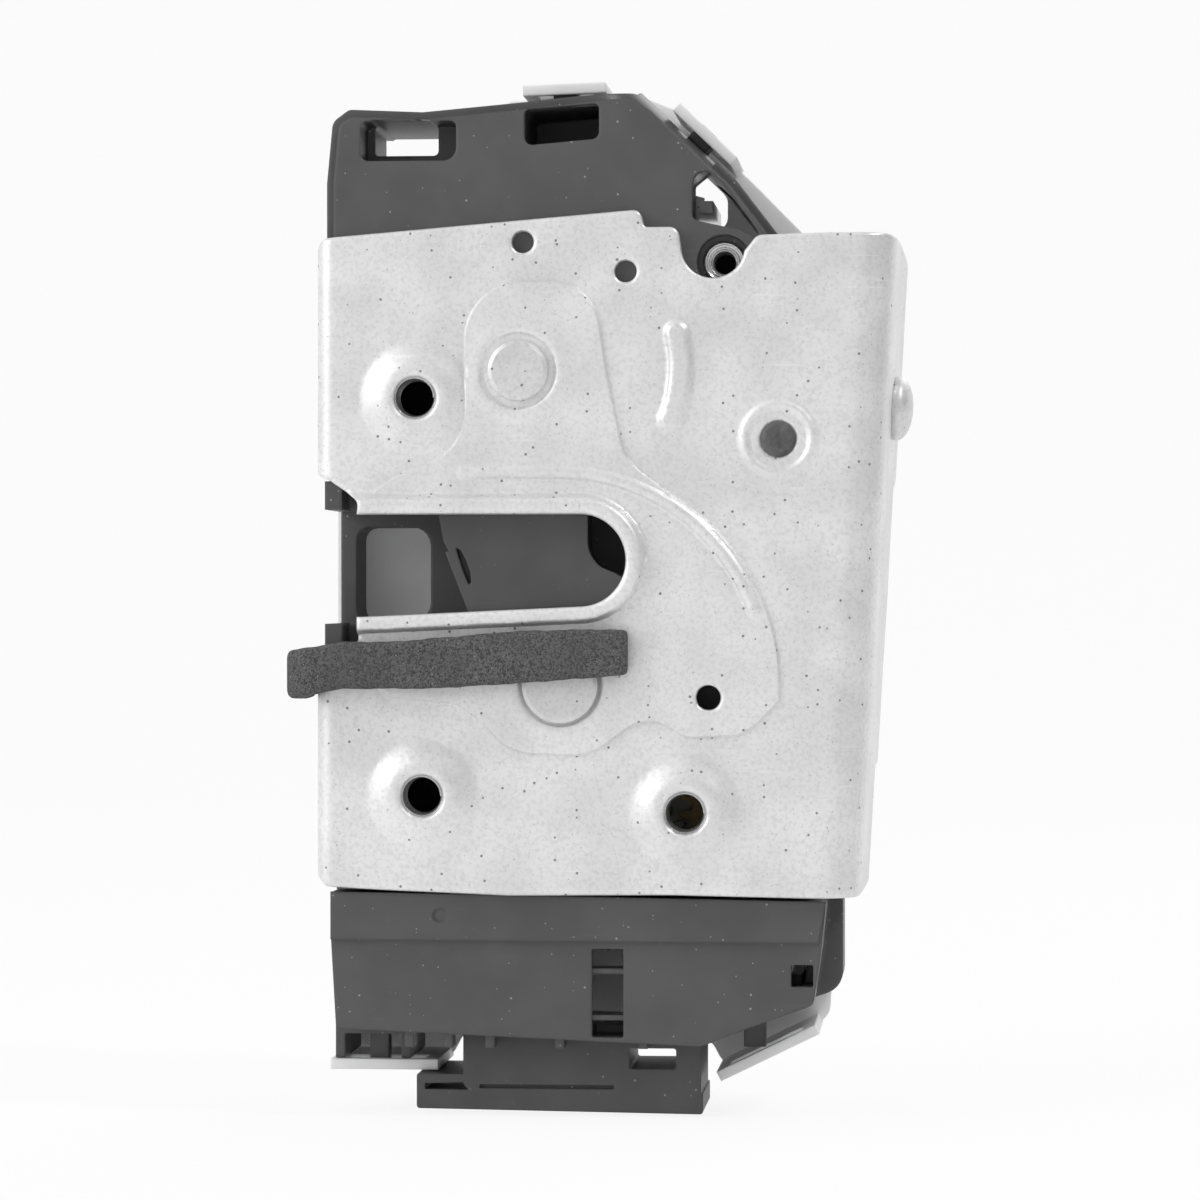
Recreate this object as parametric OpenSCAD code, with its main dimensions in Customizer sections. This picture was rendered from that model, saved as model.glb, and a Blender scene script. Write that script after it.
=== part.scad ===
// Power door latch: steel latch plate with fishmouth slot, claw and pawl, release levers,
// motor driven lock slide, black plastic housings and a white rear cover.
// Millimetres. +Z is up and the latch plate faces -Y.
// The origin is the mouth of the lower left fixing hole, in the plane that lies on the door skin.

/* [Fixing holes] */
// Radius of the three tapped fixing holes
fix_hole_r = 3; // [2.5:0.1:3.4]
// Height of the soft cone round each fixing hole
fix_boss_h = 1.5; // [1.1:0.1:1.9]
// Radius of the soft cone at its foot
fix_boss_r = 8.5; // [7:0.5:9.5]
// Radius of the flat rim that touches the door skin
fix_rim_r = 4.4; // [4:0.1:5]
// Place of the upper hole from the lower left hole, as X and Z
hole_upper = [-1.1, 61.4];
// Place of the lower right hole from the lower left hole, as X and Z
hole_right = [40.6, -2.5];

/* [Latch plate] */
// Thickness of the latch plate
plate_t = 2; // [1.6:0.1:2.4]
// Height of the raised field over the claw and the pawl
field_h = 0.9; // [0.5:0.1:1.2]
// Height of the lip round the striker slot
lip_h = 2.8; // [1.5:0.1:3.2]
// Width of the lip round the striker slot
lip_w = 2.8; // [2:0.1:3.2]
// Outside radius of the large fold at the right
fold_r = 6; // [5:0.5:7]
// Depth of the side flange behind the plate
flange_depth = 34; // [30:1:35]
// Lean of the fold from the vertical, in degrees
fold_lean = 3.3; // [2.5:0.1:4]
// Depth of the small return flange at the left
return_depth = 7; // [6:0.5:9]

/* [Striker slot] */
// Width of the slot at its round end
slot_w = 14.2; // [13:0.2:15]
// X of the centre of the slot's round end
slot_end_x = 24.5; // [23:0.5:26]
// Z of the slot's middle line
slot_z = 36.3; // [36:0.1:36.6]
// How much wider the slot is at its mouth
slot_flare = 2.2; // [1:0.2:3]

/* [Claw] */
// Radius of the claw's pin
claw_pin_r = 5; // [4:0.25:5.5]
// Thickness of the claw's steel core
claw_core_t = 5; // [4:0.2:5.4]
// Thickness of the plastic moulded over the claw's core
claw_skin = 1; // [0.6:0.1:1]
// Radius of the claw's safety catch
claw_r = 32; // [31.8:0.1:32.2]
// Radius of the claw's main catch
claw_catch_r = 30.9; // [30.6:0.1:31.2]
// Radius of the claw's hub
claw_hub_r = 18.3; // [17:0.1:18.6]
// Half of the width of the fork that takes the striker
fork_half_w = 5.6; // [5.2:0.1:5.8]
// Turn of the claw from open to closed, in degrees
claw_turn = 70; // [66:1:72]

/* [Pawl] */
// Radius of the pawl's pin
pawl_pin_r = 3.8; // [3:0.2:4.4]
// Radius of the pawl's hub
pawl_hub_r = 8; // [7:0.2:8.6]
// Length of the pawl from its pin to its catch face
pawl_length = 32.2; // [31.8:0.1:32.4]
// Width of the pawl's strut
pawl_w = 7; // [6:0.2:7.4]
// Turn of the pawl from engaged to lifted, in degrees
pawl_turn = 14.5; // [14:0.5:16]

/* [Running fits] */
// Radial clearance of every running fit
fit = 0.05; // [0.02:0.01:0.08]
// Clearance between flat faces that slide past each other
side_gap = 0.4; // [0.3:0.05:0.5]

/* [Housings] */
// Wall thickness of the black housings
wall = 2; // [1.6:0.1:2.4]
// Y of the rear edge of the black housings
housing_back = 33; // [32:0.5:34]
// Thickness of the white rear cover
cover_t = 2; // [1.6:0.2:3]
// Thickness of the steel back plate
back_plate_t = 2; // [1.6:0.1:2.2]
// Depth of the striker's channel behind the door skin
channel_depth = 22; // [20:0.5:24]

/* [Levers and lock drive] */
// Thickness of each release lever
lever_t = 2; // [1.6:0.1:2.2]
// Radius of the pin that carries the release levers
lever_pin_r = 3; // [2.5:0.1:3.4]
// Thickness of the lock slide
slide_t = 3; // [2.4:0.1:3]
// Number of turns of the motor from unlocked to locked
motor_turns = 6; // [4:1:7]
// Pitch of the worm's thread
worm_pitch = 2.4; // [2.2:0.1:2.5]
// Number of teeth on the worm wheel
wheel_teeth = 30; // [28:1:30]
// Radius of the motor's can
motor_r = 9.2; // [8:0.2:9.4]
// Length of the motor's can
motor_len = 24; // [20:1:25]

/* [Seal] */
// Height of the foam strip on the plate
foam_h = 7.4; // [6:0.2:8.6]
// Thickness of the foam strip
foam_t = 4; // [3:0.5:5]

/* [Hidden] */
$fn = 48;
eps = 0.01;

// Places of the pivots, as X and Z
claw_at = [21.4, 17.1];
pawl_at = [14.9, 65.5];
tie_at = [54.9, 54.9];
lever_at = [17, 79];
wheel_at = [34, -8];
bush_at = [46.5, 82.3];
key_at = [55.5, 30];
hole_lower = [0, 0];
fix_holes = [hole_lower, hole_upper, hole_right];

// Layers from the door skin at Y = 0 backwards
face_y = fix_boss_h;
plate_back = face_y + plate_t;
claw_y = plate_back + side_gap;
claw_back = claw_y + claw_core_t + 2 * claw_skin;
floor_y = claw_back + side_gap;
floor_back = floor_y + wall;
carrier_back = floor_back + back_plate_t;
slide_y = carrier_back + 3.2;
slide_back = slide_y + slide_t;
inside_y = slide_back + side_gap;
inside_back = inside_y + lever_t;
cover_y = housing_back;
cover_back = cover_y + cover_t;

// Travel of the lock drive
pinion_r = 5.5;
wheel_pitch_r = worm_pitch * wheel_teeth / (2 * PI);
worm_mean_r = 2.9;
worm_depth = 0.6;
worm_drop = wheel_pitch_r + worm_mean_r;
wheel_turn = 360 * motor_turns / wheel_teeth;
slide_travel = pinion_r * wheel_turn * PI / 180;

// Working in the X-Z plane: a sketch drawn in X and Z becomes a slab between two depths
module slab(y0, y1) {
  translate([0, y1, 0]) rotate([90, 0, 0]) linear_extrude(height = y1 - y0) children();
}

// Round pin or hole along Y
module bar(at, r, y0, y1) {
  translate([at.x, y1, at.y]) rotate([90, 0, 0]) cylinder(r = r, h = y1 - y0);
}

// Cone along Y, from radius r0 at y0 to radius r1 at y1
module taper(at, r0, r1, y0, y1) {
  translate([at.x, y1, at.y]) rotate([90, 0, 0]) cylinder(r1 = r1, r2 = r0, h = y1 - y0);
}

// Outlines are lists of corners [x, z, corner radius], counter-clockwise as seen from the front
function corner(P, i) = P[(i + len(P)) % len(P)];
function flat2(p) = [p.x, p.y];
function unit(v) = v / norm(v);
function out_normal(a, b) = let (d = unit(flat2(b) - flat2(a))) [d.y, -d.x];
function grown(P, d) = [
  for (i = [0:len(P) - 1])
    let (n1 = out_normal(corner(P, i - 1), P[i]), n2 = out_normal(P[i], corner(P, i + 1)),
         m = (n1 + n2) * d / (1 + n1 * n2))
    [P[i].x + m.x, P[i].y + m.y, max(0, P[i].z)]
];
function arc_point(o, p, q, turn, s) =
  o + (sin((1 - s) * turn) * (p - o) + sin(s * turn) * (q - o)) / sin(turn);
function rounded(P, steps = 5) = [
  for (i = [0:len(P) - 1])
    let (b = flat2(P[i]), u = unit(flat2(corner(P, i - 1)) - b), v = unit(flat2(corner(P, i + 1)) - b),
         half = acos(max(-1, min(1, u * v))) / 2, r = P[i].z, turn = 180 - 2 * half,
         curved = r > 0 && turn > 1, o = curved ? b + unit(u + v) * r / sin(half) : b,
         run = curved ? r / tan(half) : 0)
    for (k = [0:(curved ? steps : 0)]) curved ? arc_point(o, b + u * run, b + v * run, turn, k / steps) : b
];
module outline(P, grow = 0, steps = 5) {
  polygon(rounded(grown(P, grow), steps));
}

// The striker slot, grown outwards by g
module slot_shape(g = 0) {
  r = slot_w / 2;
  union() {
    polygon([
      [-22, slot_z - r - slot_flare - g], [slot_end_x, slot_z - r - g],
      [slot_end_x, slot_z + r + g], [-22, slot_z + r + g]
    ]);
    translate([slot_end_x, slot_z]) circle(r = r + g);
  }
}

// Outline of the plate's flat, as far as the fold at the right
fold_x = 68.2;
plate_top_z = 86.6;
plate_foot_z = -15.6;
tab = 1.6;
function fold_edge_x(z) = fold_x + z * tan(fold_lean) - fold_r;
plate_edge = [
  [-16.6, 48.6, 1], [-14, 48.6, 1.5], [-9.7, 45, 1.5], [-9.9, 24, 0.6], [-11.7, 22.5, 1.5], [-14, 15, 1.5],
  [-16.2, 14, 1], [-15.8, -13.8, 1.5], [-6.6, -14.6, 0], [13.5, -15.4, 0], [38, -15.2, 0],
  [58.6, plate_foot_z, 0], [fold_edge_x(plate_foot_z) - tab / 2, plate_foot_z, 0],
  [fold_edge_x(plate_top_z) - tab / 2, plate_top_z, 0], [63, plate_top_z, 0], [51.6, 86.2, 1.6],
  [49.7, 83.6, 0.5], [40, 83.6, 0.5], [39.4, 87.4, 1.4], [37, 87.4, 1], [33.9, 90.2, 2],
  [-14, 86.3, 0], [-16.6, 85.8, 1.2]
];
notch_at = [44.85, 84.6];
notch_r = 4.9;

// Outline of the raised field round the claw and the pawl
field_edge = concat(
  [
    [-9.9, 24, 0], [-6, 15.2, 3], [6, 14.2, 6], [14, 6.6, 8], [26, 6.2, 9], [34.6, 12.6, 6], [41, 9, 3],
    [50, 9.4, 7]
  ],
  [for (a = [-4:9:57]) [claw_at.x + 33.8 * cos(a), claw_at.y + 33.8 * sin(a), 0]],
  [[31.4, 51.5, 9], [27, 79.2, 10], [6.4, 79.2, 10], [7, 53, 9], [-2, 50.4, 6], [-9.7, 45.5, 1.5]]
);

// One quarter of a sheet bend with a leg behind it, drawn in X and Y and extruded upwards
module bend_section(r, leg, splay) {
  translate([-r, r]) intersection() {
    difference() {
      circle(r = r);
      circle(r = r - plate_t);
    }
    translate([-eps, -r - 1]) square([r + 1, r + 1 + eps]);
  }
  translate([0, r]) rotate(-splay) translate([-plate_t, -0.3]) square([plate_t, leg + 0.3]);
  translate([-r - tab, 0]) square([tab + eps, plate_t]);
}

flange_splay = 3;
rivet_z = 60.5;
rivet_y = 13;
// Frame on the outer face of the side flange, with local +Z pointing out of it
module on_flange(y, z) {
  translate([fold_x, face_y, 0]) rotate([0, fold_lean, 0]) translate([0, fold_r, z])
    rotate([0, 0, -flange_splay]) translate([0, y, 0]) rotate([0, 90, 0]) children();
}
module side_flange() {
  height = plate_top_z - plate_foot_z;
  step_upper = 48.6;
  step_lower = 4;
  extra = 4;
  difference() {
    intersection() {
      translate([fold_x, face_y, 0]) rotate([0, fold_lean, 0]) translate([0, 0, plate_foot_z - extra])
        linear_extrude(height = height + 2 * extra) bend_section(fold_r, flange_depth - fold_r, flange_splay);
      translate([50, 0, plate_foot_z]) cube([40, flange_depth + 10, height]);
    }
    // the rear edge steps forward below the slot and again near the foot
    translate([50, flange_depth - 3, -30]) cube([40, 20, 30 + step_upper]);
    translate([50, flange_depth - 8, -30]) cube([40, 20, 30 + step_lower]);
    // rounded corners at the top and the foot, as seen from the front
    slab(0, flange_depth + 8) corner_waste([74.6, plate_top_z], 2.8, 1);
    slab(0, flange_depth + 8) corner_waste([68.4, plate_foot_z], 1.6, -1);
    on_flange(rivet_y, rivet_z) translate([0, 0, -6]) cylinder(r = 2.6, h = 12);
  }
}
module corner_waste(at, r, side) {
  translate(at - [r, side * r]) difference() {
    translate([0, side > 0 ? 0 : -r - 3]) square([r + 3, r + 3]);
    circle(r = r);
  }
}

plate_left = -16.6;
return_r = 2.6;
return_spans = [[49.8, 84.4], [-12.4, 12.8]];
module return_flange(z0, z1) {
  mirror([1, 0, 0]) translate([-plate_left, face_y, z0])
    linear_extrude(height = z1 - z0) bend_section(return_r, return_depth - return_r, 0);
}

module lip() {
  slab(face_y - lip_h, plate_back) difference() {
    intersection() {
      slot_shape(lip_w);
      translate([-9.9, 0]) square([60, 70]);
    }
    slot_shape();
  }
}

rib_at = [21, 17.8];
rib_r = 32.1;
rib_w = 1.7;
module curved_rib() {
  top = face_y - field_h - 0.6;
  slab(top, face_y) {
    intersection() {
      translate(rib_at) difference() {
        circle(r = rib_r + rib_w / 2);
        circle(r = rib_r - rib_w / 2);
      }
      translate(rib_at) polygon([[0, 0], [0, 60], [60, 60], [60, 60 * tan(20)]]);
    }
    translate([6.5, rib_at.y + rib_r - rib_w / 2]) square([rib_at.x - 6.5, rib_w]);
    for (a = [20, 90]) translate(rib_at + rib_r * [cos(a), sin(a)]) circle(r = rib_w / 2);
  }
}

// Oblong curved emboss right of the pawl
emboss_at = [18.3, 66];
emboss_r = 21.6;
emboss_w = 3.4;
module oblong_emboss() {
  slab(face_y - 0.7, face_y) {
    intersection() {
      translate(emboss_at) difference() {
        circle(r = emboss_r + emboss_w / 2);
        circle(r = emboss_r - emboss_w / 2);
      }
      translate(emboss_at) polygon([[0, 0], 60 * [cos(-22), sin(-22)], 60 * [cos(14), sin(14)]]);
    }
    for (a = [-22, 14]) translate(emboss_at + emboss_r * [cos(a), sin(a)]) circle(r = emboss_w / 2);
  }
}

small_holes = [[15.5, 85.4, 1.7], [31.4, 80.8, 1.7], [44.2, 15.2, 1.9]];
claw_head_r = 5.8;
pawl_head_r = 4.6;
module latch_plate() {
  color("gainsboro") difference() {
    union() {
      slab(face_y, plate_back) difference() {
        outline(plate_edge);
        translate(notch_at) circle(r = notch_r);
        for (s = return_spans) translate([plate_left - 5, s[0]]) square([5 + return_r + tab / 2, s[1] - s[0]]);
      }
      side_flange();
      for (s = return_spans) return_flange(s[0], s[1]);
      slab(face_y - field_h, face_y) outline(field_edge);
      curved_rib();
      oblong_emboss();
      lip();
      for (h = fix_holes) {
        taper(h, fix_rim_r, fix_boss_r, 0, face_y);
        bar(h, fix_rim_r, 0, plate_back + 3);
      }
      taper(tie_at, 5.8, 6.6, face_y - 0.5, face_y);
    }
    slab(-5, plate_back + 9) slot_shape();
    for (h = fix_holes) bar(h, fix_hole_r, -1, plate_back + 5);
    for (h = small_holes) bar(h, h.z, -1, plate_back + 1);
    bar(claw_at, claw_pin_r, -2, plate_back + 1);
    bar(pawl_at, pawl_pin_r, -2, plate_back + 1);
    bar(tie_at, 2.6, -2, plate_back + 1);
    bar(tie_at, 4.8, -2, face_y + 0.3);
  }
}

// Steel back plate that carries the rear ends of the pins
carrier_edge = [
  [-13, 2, 2], [-2, 6, 3], [14, -13, 6], [50, -13, 6], [58.4, 4, 5], [59.4, 52, 5], [57.4, 62, 5], [40, 62, 6],
  [30, 90, 6], [0, 89, 5], [-1.6, 69, 3], [4.4, 66.4, 2], [3.6, 57, 2], [-13, 52, 2]
];
module back_plate() {
  color("silver") difference() {
    slab(floor_back, carrier_back) difference() {
      outline(carrier_edge);
      slot_shape(wall + 1.1);
    }
    bar(claw_at, claw_pin_r, floor_y, carrier_back + 1);
    bar(pawl_at, pawl_pin_r, floor_y, carrier_back + 1);
    bar(tie_at, 2.6, floor_y, carrier_back + 1);
    bar(lever_at, lever_pin_r, floor_y, carrier_back + 1);
    bar(wheel_at, axle_r, floor_y, carrier_back + 1);
    bar(hole_right, fix_hole_r + 1, floor_y, carrier_back + 1);
    bar(pawl_at + pin_middle, pin_room, floor_y, carrier_back + 1);
  }
}

// Riveted pins
module riveted_pin(at, r, head_r, front_y) {
  bar(at, r, front_y, carrier_back + 0.8);
  bar(at, head_r, front_y - 0.8, front_y);
  taper(at, head_r - 0.6, head_r, front_y - 1.1, front_y - 0.8);
  taper(at, r + 1, r + 0.5, carrier_back, carrier_back + 1);
}
module claw_pin() {
  color("lightgray") riveted_pin(claw_at, claw_pin_r, claw_head_r, face_y - field_h);
}
module pawl_pin() {
  color("lightgray") riveted_pin(pawl_at, pawl_pin_r, pawl_head_r, face_y - field_h);
}
module tie_rivet() {
  color("darkgray") {
    bar(tie_at, 2.6, face_y - 0.2, carrier_back + 0.8);
    taper(tie_at, 4, 3.2, carrier_back, carrier_back + 1.2);
  }
}
module flange_rivet() {
  color("lightgray") on_flange(rivet_y, rivet_z) {
    translate([0, 0, -plate_t - 2]) cylinder(r = 2.6, h = plate_t + 2.4);
    translate([0, 0, -plate_t - 2]) cylinder(r = 4, h = 2);
    cylinder(r = 5, h = 1.2);
    translate([0, 0, 1.2]) cylinder(r1 = 5, r2 = 4, h = 1.2);
    translate([0, 0, 2.4]) cylinder(r1 = 4, r2 = 2, h = 0.7);
  }
}

// Claw, drawn open about its own pivot, grown outwards by g
seat_r = slot_z - claw_at.y;
seat_a = 90 + claw_turn;
fork_dir = 111.2;
tooth_a = 108;
hook_r = 30.4;
hook_top = 12;
flank_x = 3.2;
root_r = 4.9;
centre = [0, 0];
mouth_extra = 0.15;
claw_seat = seat_r * [cos(seat_a), sin(seat_a)];
module fork_gap(y0, y1, g) {
  w = fork_half_w - g;
  bar(claw_seat, w, y0 - 1, y1 + 1);
  // the mouth is a little wider than the seat
  slab(y0 - 1, y1 + 1) translate(claw_seat) rotate(fork_dir) translate([0, -w - mouth_extra])
    square([40, 2 * (w + mouth_extra)]);
}
module lever_arm(y0, y1, g) {
  x = flank_x + g;
  intersection() {
    bar(centre, claw_r + g, y0, y1);
    slab(y0, y1) polygon([centre, [x, 10], [x, 29], [x - 2.4, 40], 60 * [cos(tooth_a), sin(tooth_a)]]);
  }
  intersection() {
    bar(centre, claw_catch_r + g, y0, y1);
    slab(y0, y1)
      polygon([centre, [x, 10], [x, 29], [x - 2.4, 40], [-60, 40], [-60, hook_top + g]]);
  }
}
module hook_arm(y0, y1, g) {
  intersection() {
    bar(centre, hook_r + g, y0, y1);
    slab(y0, y1) polygon([centre, [-60, -60 * tan(20) - g], [-60, hook_top + g], [0, hook_top + g]]);
  }
}
module arm_root(y0, y1, g) {
  x = flank_x + g;
  difference() {
    slab(y0, y1) polygon([centre, [x - 1, 24], [x, 22.2], [x + root_r + 0.5, 16]]);
    bar([x + root_r, 22.2], root_r, y0 - 1, y1 + 1);
  }
}
module claw_solid(y0, y1, g = 0) {
  difference() {
    union() {
      bar(centre, claw_hub_r + g, y0, y1);
      lever_arm(y0, y1, g);
      hook_arm(y0, y1, g);
      arm_root(y0, y1, g);
    }
    fork_gap(y0, y1, g);
  }
}
claw_core_y = claw_y + claw_skin;
// The core steps back behind the fork's face, where the plastic is a thick bumper
bumper_w = 4.6;
bumper_run = [4.5, 15.5];
module core_solid() {
  difference() {
    claw_solid(claw_core_y, claw_core_y + claw_core_t);
    slab(0, claw_back) translate(claw_seat) rotate(fork_dir) translate([bumper_run[0], -fork_half_w - bumper_w])
      square([bumper_run[1] - bumper_run[0], bumper_w + 1]);
  }
}
module claw_core() {
  color("dimgray") translate([claw_at.x, 0, claw_at.y]) difference() {
    core_solid();
    bar(centre, claw_pin_r + fit, 0, claw_back);
  }
}
module claw_cover() {
  color([0.25, 0.25, 0.26]) translate([claw_at.x, 0, claw_at.y]) difference() {
    claw_solid(claw_y, claw_back, 0.8);
    core_solid();
    bar(centre, claw_pin_r + 2, 0, claw_back + 1);
    // the slit behind the fork's face damps the striker's blow
    slab(0, claw_back + 1) translate(slit_at) rotate(20) intersection() {
      difference() {
        circle(r = 5.2);
        translate([-1.7, 0]) circle(r = 5);
      }
      polygon([centre, [8, -5.4], [8, 6.2]]);
    }
    // bare steel at the main catch
    slab(0, claw_back + 1) translate(30 * [cos(tooth_a + 19), sin(tooth_a + 19)]) rotate(fork_dir)
      translate([-3.2, -3.5]) square([12, 6]);
  }
}
slit_at = [-19.1, 16.7];

// Pawl, drawn lifted about its own pivot
strut_a = -45.5 + pawl_turn;
pin_reach = [-10.5, 5];
pin_swing = atan2(pin_reach.y, pin_reach.x) - pawl_turn / 2;
pin_middle = norm(pin_reach) * [cos(pin_swing), sin(pin_swing)];
release_pin_r = 2.2;
module pawl_solid(y0, y1, g = 0) {
  half = pawl_w / 2 + g;
  tip = pawl_length + g;
  bar(centre, pawl_hub_r + g, y0, y1);
  shoulder = pawl_hub_r - 1 + g;
  slab(y0, y1) rotate(strut_a) polygon([
    [0, -half], [tip, -half], [tip, half + 1.4], [18, half + 1.4], [4, shoulder], [0, shoulder]
  ]);
  slab(y0, y1) polygon([
    [0, pawl_hub_r - 0.5 + g], [pin_reach.x, pin_reach.y + 3.9 + g], [pin_reach.x, pin_reach.y - 3.9 - g],
    [0, 0.5 - pawl_hub_r - g]
  ]);
  bar(pin_reach, 4 + g, y0, y1);
}
pawl_y = claw_core_y;
module pawl_core() {
  color("slategray") translate([pawl_at.x, 0, pawl_at.y]) difference() {
    pawl_solid(pawl_y, pawl_y + claw_core_t);
    bar(centre, pawl_pin_r + fit, 0, claw_back);
    bar(pin_reach, release_pin_r, 0, claw_back);
  }
}
module pawl_cover() {
  color([0.2, 0.2, 0.2]) translate([pawl_at.x, 0, pawl_at.y]) difference() {
    pawl_solid(pawl_y - 0.8, pawl_y + claw_core_t + 0.8, 0.6);
    pawl_solid(pawl_y, pawl_y + claw_core_t);
    slab(0, claw_back + 1) rotate(strut_a) translate([pawl_length - 8, -20]) square([20, 40]);
    bar(centre, pawl_pin_r + 1.5, 0, claw_back + 1);
    bar(pin_reach, release_pin_r + 0.8, 0, claw_back + 1);
  }
}
module pawl_release_pin() {
  color("silver") bar(pawl_at + pin_reach, release_pin_r, pawl_y, inside_back + 0.6);
}
// Round hole in which the release pin swings
pin_room = 4.3;

// Springs: a coil as stacked rings with two legs
module coil(at, r, wire, turns, y0) {
  for (k = [0:turns - 1]) translate([at.x, y0 + wire / 2 + k * wire, at.y]) rotate([90, 0, 0])
    rotate_extrude() translate([r, 0]) circle(d = wire + 0.1, $fn = 16);
}
claw_spring_wire = 1.2;
module claw_spring() {
  y0 = carrier_back + 0.2;
  color("darkslategray") {
    coil(claw_at, claw_pin_r + 2.4, claw_spring_wire, 2, y0);
    translate([claw_at.x, y0 + 0.6, claw_at.y - claw_pin_r - 2.4]) rotate([0, 90, 0])
      cylinder(d = claw_spring_wire, h = 16);
  }
}
module pawl_spring() {
  y0 = carrier_back + 0.2;
  color("darkslategray") {
    coil(pawl_at, pawl_pin_r + 1.8, 0.9, 2, y0);
    translate([pawl_at.x, y0 + 0.45, pawl_at.y - pawl_pin_r - 1.8]) rotate([0, -90, 0])
      cylinder(d = 0.9, h = 12);
  }
}

// Buffers
module striker_buffer() {
  color([0.12, 0.12, 0.12]) slab(floor_back + 0.2, channel_depth - 2.2) intersection() {
    difference() {
      slot_shape(2.5);
      slot_shape(0.2);
    }
    translate([slot_end_x + 2.1, 0]) square([30, 80]);
  }
}
module claw_stop() {
  color([0.1, 0.1, 0.1]) slab(claw_y + 1, claw_back - 1)
    outline([[-9.6, 2.6, 0.3], [-5.6, 2.6, 0.3], [-5.6, 6, 0.6], [-9.6, 4.5, 0.6]]);
}
pawl_stop_edge = [[31.4, 63.6, 0.5], [35.4, 61.2, 0.5], [39.4, 69.2, 0.5], [34.6, 72.8, 0.5]];
module pawl_stop() {
  color([0.1, 0.1, 0.1]) slab(pawl_y, pawl_y + claw_core_t)
    outline(pawl_stop_edge);
}

// Housings
case_edge = [
  [-15.4, -14.6, 1], [60.4, -14.6, 1], [64, 52, 3], [62, 84, 4], [54.9, 86.4, 2], [48.3, 95, 8],
  [36.2, 106.6, 2], [32.4, 109.2, 1.5], [15.2, 107.4, 0], [-0.5, 106, 0], [-12, 106.5, 1.5], [-14.6, 104.6, 2],
  [-15.5, 95, 4]
];
pocket_edge = [
  [-12.8, 2.6, 2], [-4, 2.6, 3], [7, -3.2, 4], [34, -3.2, 3], [36.6, 5.5, 3], [48, -1, 6], [57.2, 3, 6],
  [57.2, 49.4, 6], [46, 49.4, 3], [46, 60, 6], [38.5, 70, 4], [26, 78.8, 6], [8, 79.4, 4], [-4.5, 78.2, 4],
  [-4.5, 67.5, 2], [6.4, 55, 2], [6.4, 49, 2], [-12.8, 49, 2]
];
housing_face = 6.2;
module case_windows() {
  // two pockets at the upper edge and their ways through
  slab(0, housing_back + 1) outline([[-8.7, 99.8, 0.5], [1.3, 99.8, 0.8], [1.3, 104.6, 0.8], [-8.7, 104.6, 0.8]]);
  slab(0, 12) outline([[-9.9, 98.2, 1.2], [5, 98.2, 2], [5, 104.4, 1], [-9.9, 104.4, 1]]);
  slab(0, 24) outline([[15.6, 100.4, 1.2], [27.2, 101.4, 1.2], [27.2, 106.9, 0.8], [15.6, 106, 0.8]]);
}
module striker_channel() {
  slab(0, channel_depth) difference() {
    slot_shape(0.8);
    translate([slot_end_x + 9, 0]) square([20, 80]);
  }
  slab(channel_depth - 1, housing_back + 1)
    outline([[-12.9, 26.8, 2], [-1.1, 26.8, 3], [-1.1, 41.8, 3], [-12.9, 41.8, 2]]);
}
module main_housing() {
  color([0.2, 0.2, 0.21]) difference() {
    union() {
      slab(plate_back, housing_back) outline(case_edge);
    }
    // front face above the plate is set back behind a rounded edge
    slab(0, housing_face) difference() {
      outline(case_edge, 2);
      outline(case_edge, -1.4);
      translate([-30, -30]) square([110, 115]);
    }
    // pocket for the claw and the pawl
    slab(0, floor_y) outline(pocket_edge);
    // rear room for the levers, kept clear of the striker's channel
    difference() {
      slab(floor_back, housing_back + 1) outline(case_edge, -wall);
      slab(floor_back, channel_depth + wall) slot_shape(0.8 + wall);
      slab(channel_depth, housing_back + 2)
        outline([[-14.5, 24.8, 2], [0.9, 24.8, 3], [0.9, 43.8, 3], [-14.5, 43.8, 2]]);
      slab(floor_back, 26) outline([[-16, 96.6, 0], [6.8, 96.6, 2], [6.8, 108, 0], [-16, 108, 0]]);
      slab(floor_back, 26) outline([[13.8, 98.8, 2], [29, 99.6, 2], [29, 110, 0], [13.8, 110, 0]]);
      slab(floor_back, housing_back) screw_posts(3.2);
    }
    striker_channel();
    case_windows();
    // corner that is open beside the sloping edge
    slab(0, 27) outline([[41.6, 88.8, 1], [48.8, 87.2, 1], [53, 85, 0.6], [46.9, 94, 4], [41.6, 99, 2]]);
    for (h = fix_holes) bar(h, fix_rim_r + 0.6, 0, floor_y - 0.6);
    bar(hole_upper, fix_hole_r + 1, 0, floor_back + 1);
    bar(hole_lower, fix_hole_r + 1, 0, floor_back + 1);
    bar(hole_right, fix_hole_r + 1, 0, floor_back + 1);
    bar(claw_at, claw_pin_r, 0, floor_back + 1);
    bar(pawl_at, pawl_pin_r, 0, floor_back + 1);
    bar(tie_at, 2.6, 0, floor_back + 1);
    bar(lever_at, lever_pin_r, floor_y + 0.8, floor_back + 1);
    bar(wheel_at, axle_r, floor_y + 0.8, floor_back + 1);
    bar(pawl_at + pin_middle, pin_room, floor_y - 1, floor_back + 1);
    // room for the plate's return flanges, the drive, the bush, the buffer and the switch
    slab(0, face_y + return_depth + 0.4) translate([-20, -20]) square([6.4, 34]);
    slab(0, face_y + return_depth + 0.4) translate([-20, 48.6]) square([6.4, 37]);
    drive_gap();
    bar(bush_at, bush_r + 1, 0, housing_face);
    buffer_room();
    slab(0, claw_back) switch_place() square([switch_d + 5, switch_w], center = true);
    slab(pawl_y, pawl_y + claw_core_t) outline(pawl_stop_edge);
    screw_holes();
    bar(bush_at, bush_r, housing_face - 1, housing_face + bush_len + 0.5);
  }
}

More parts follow.
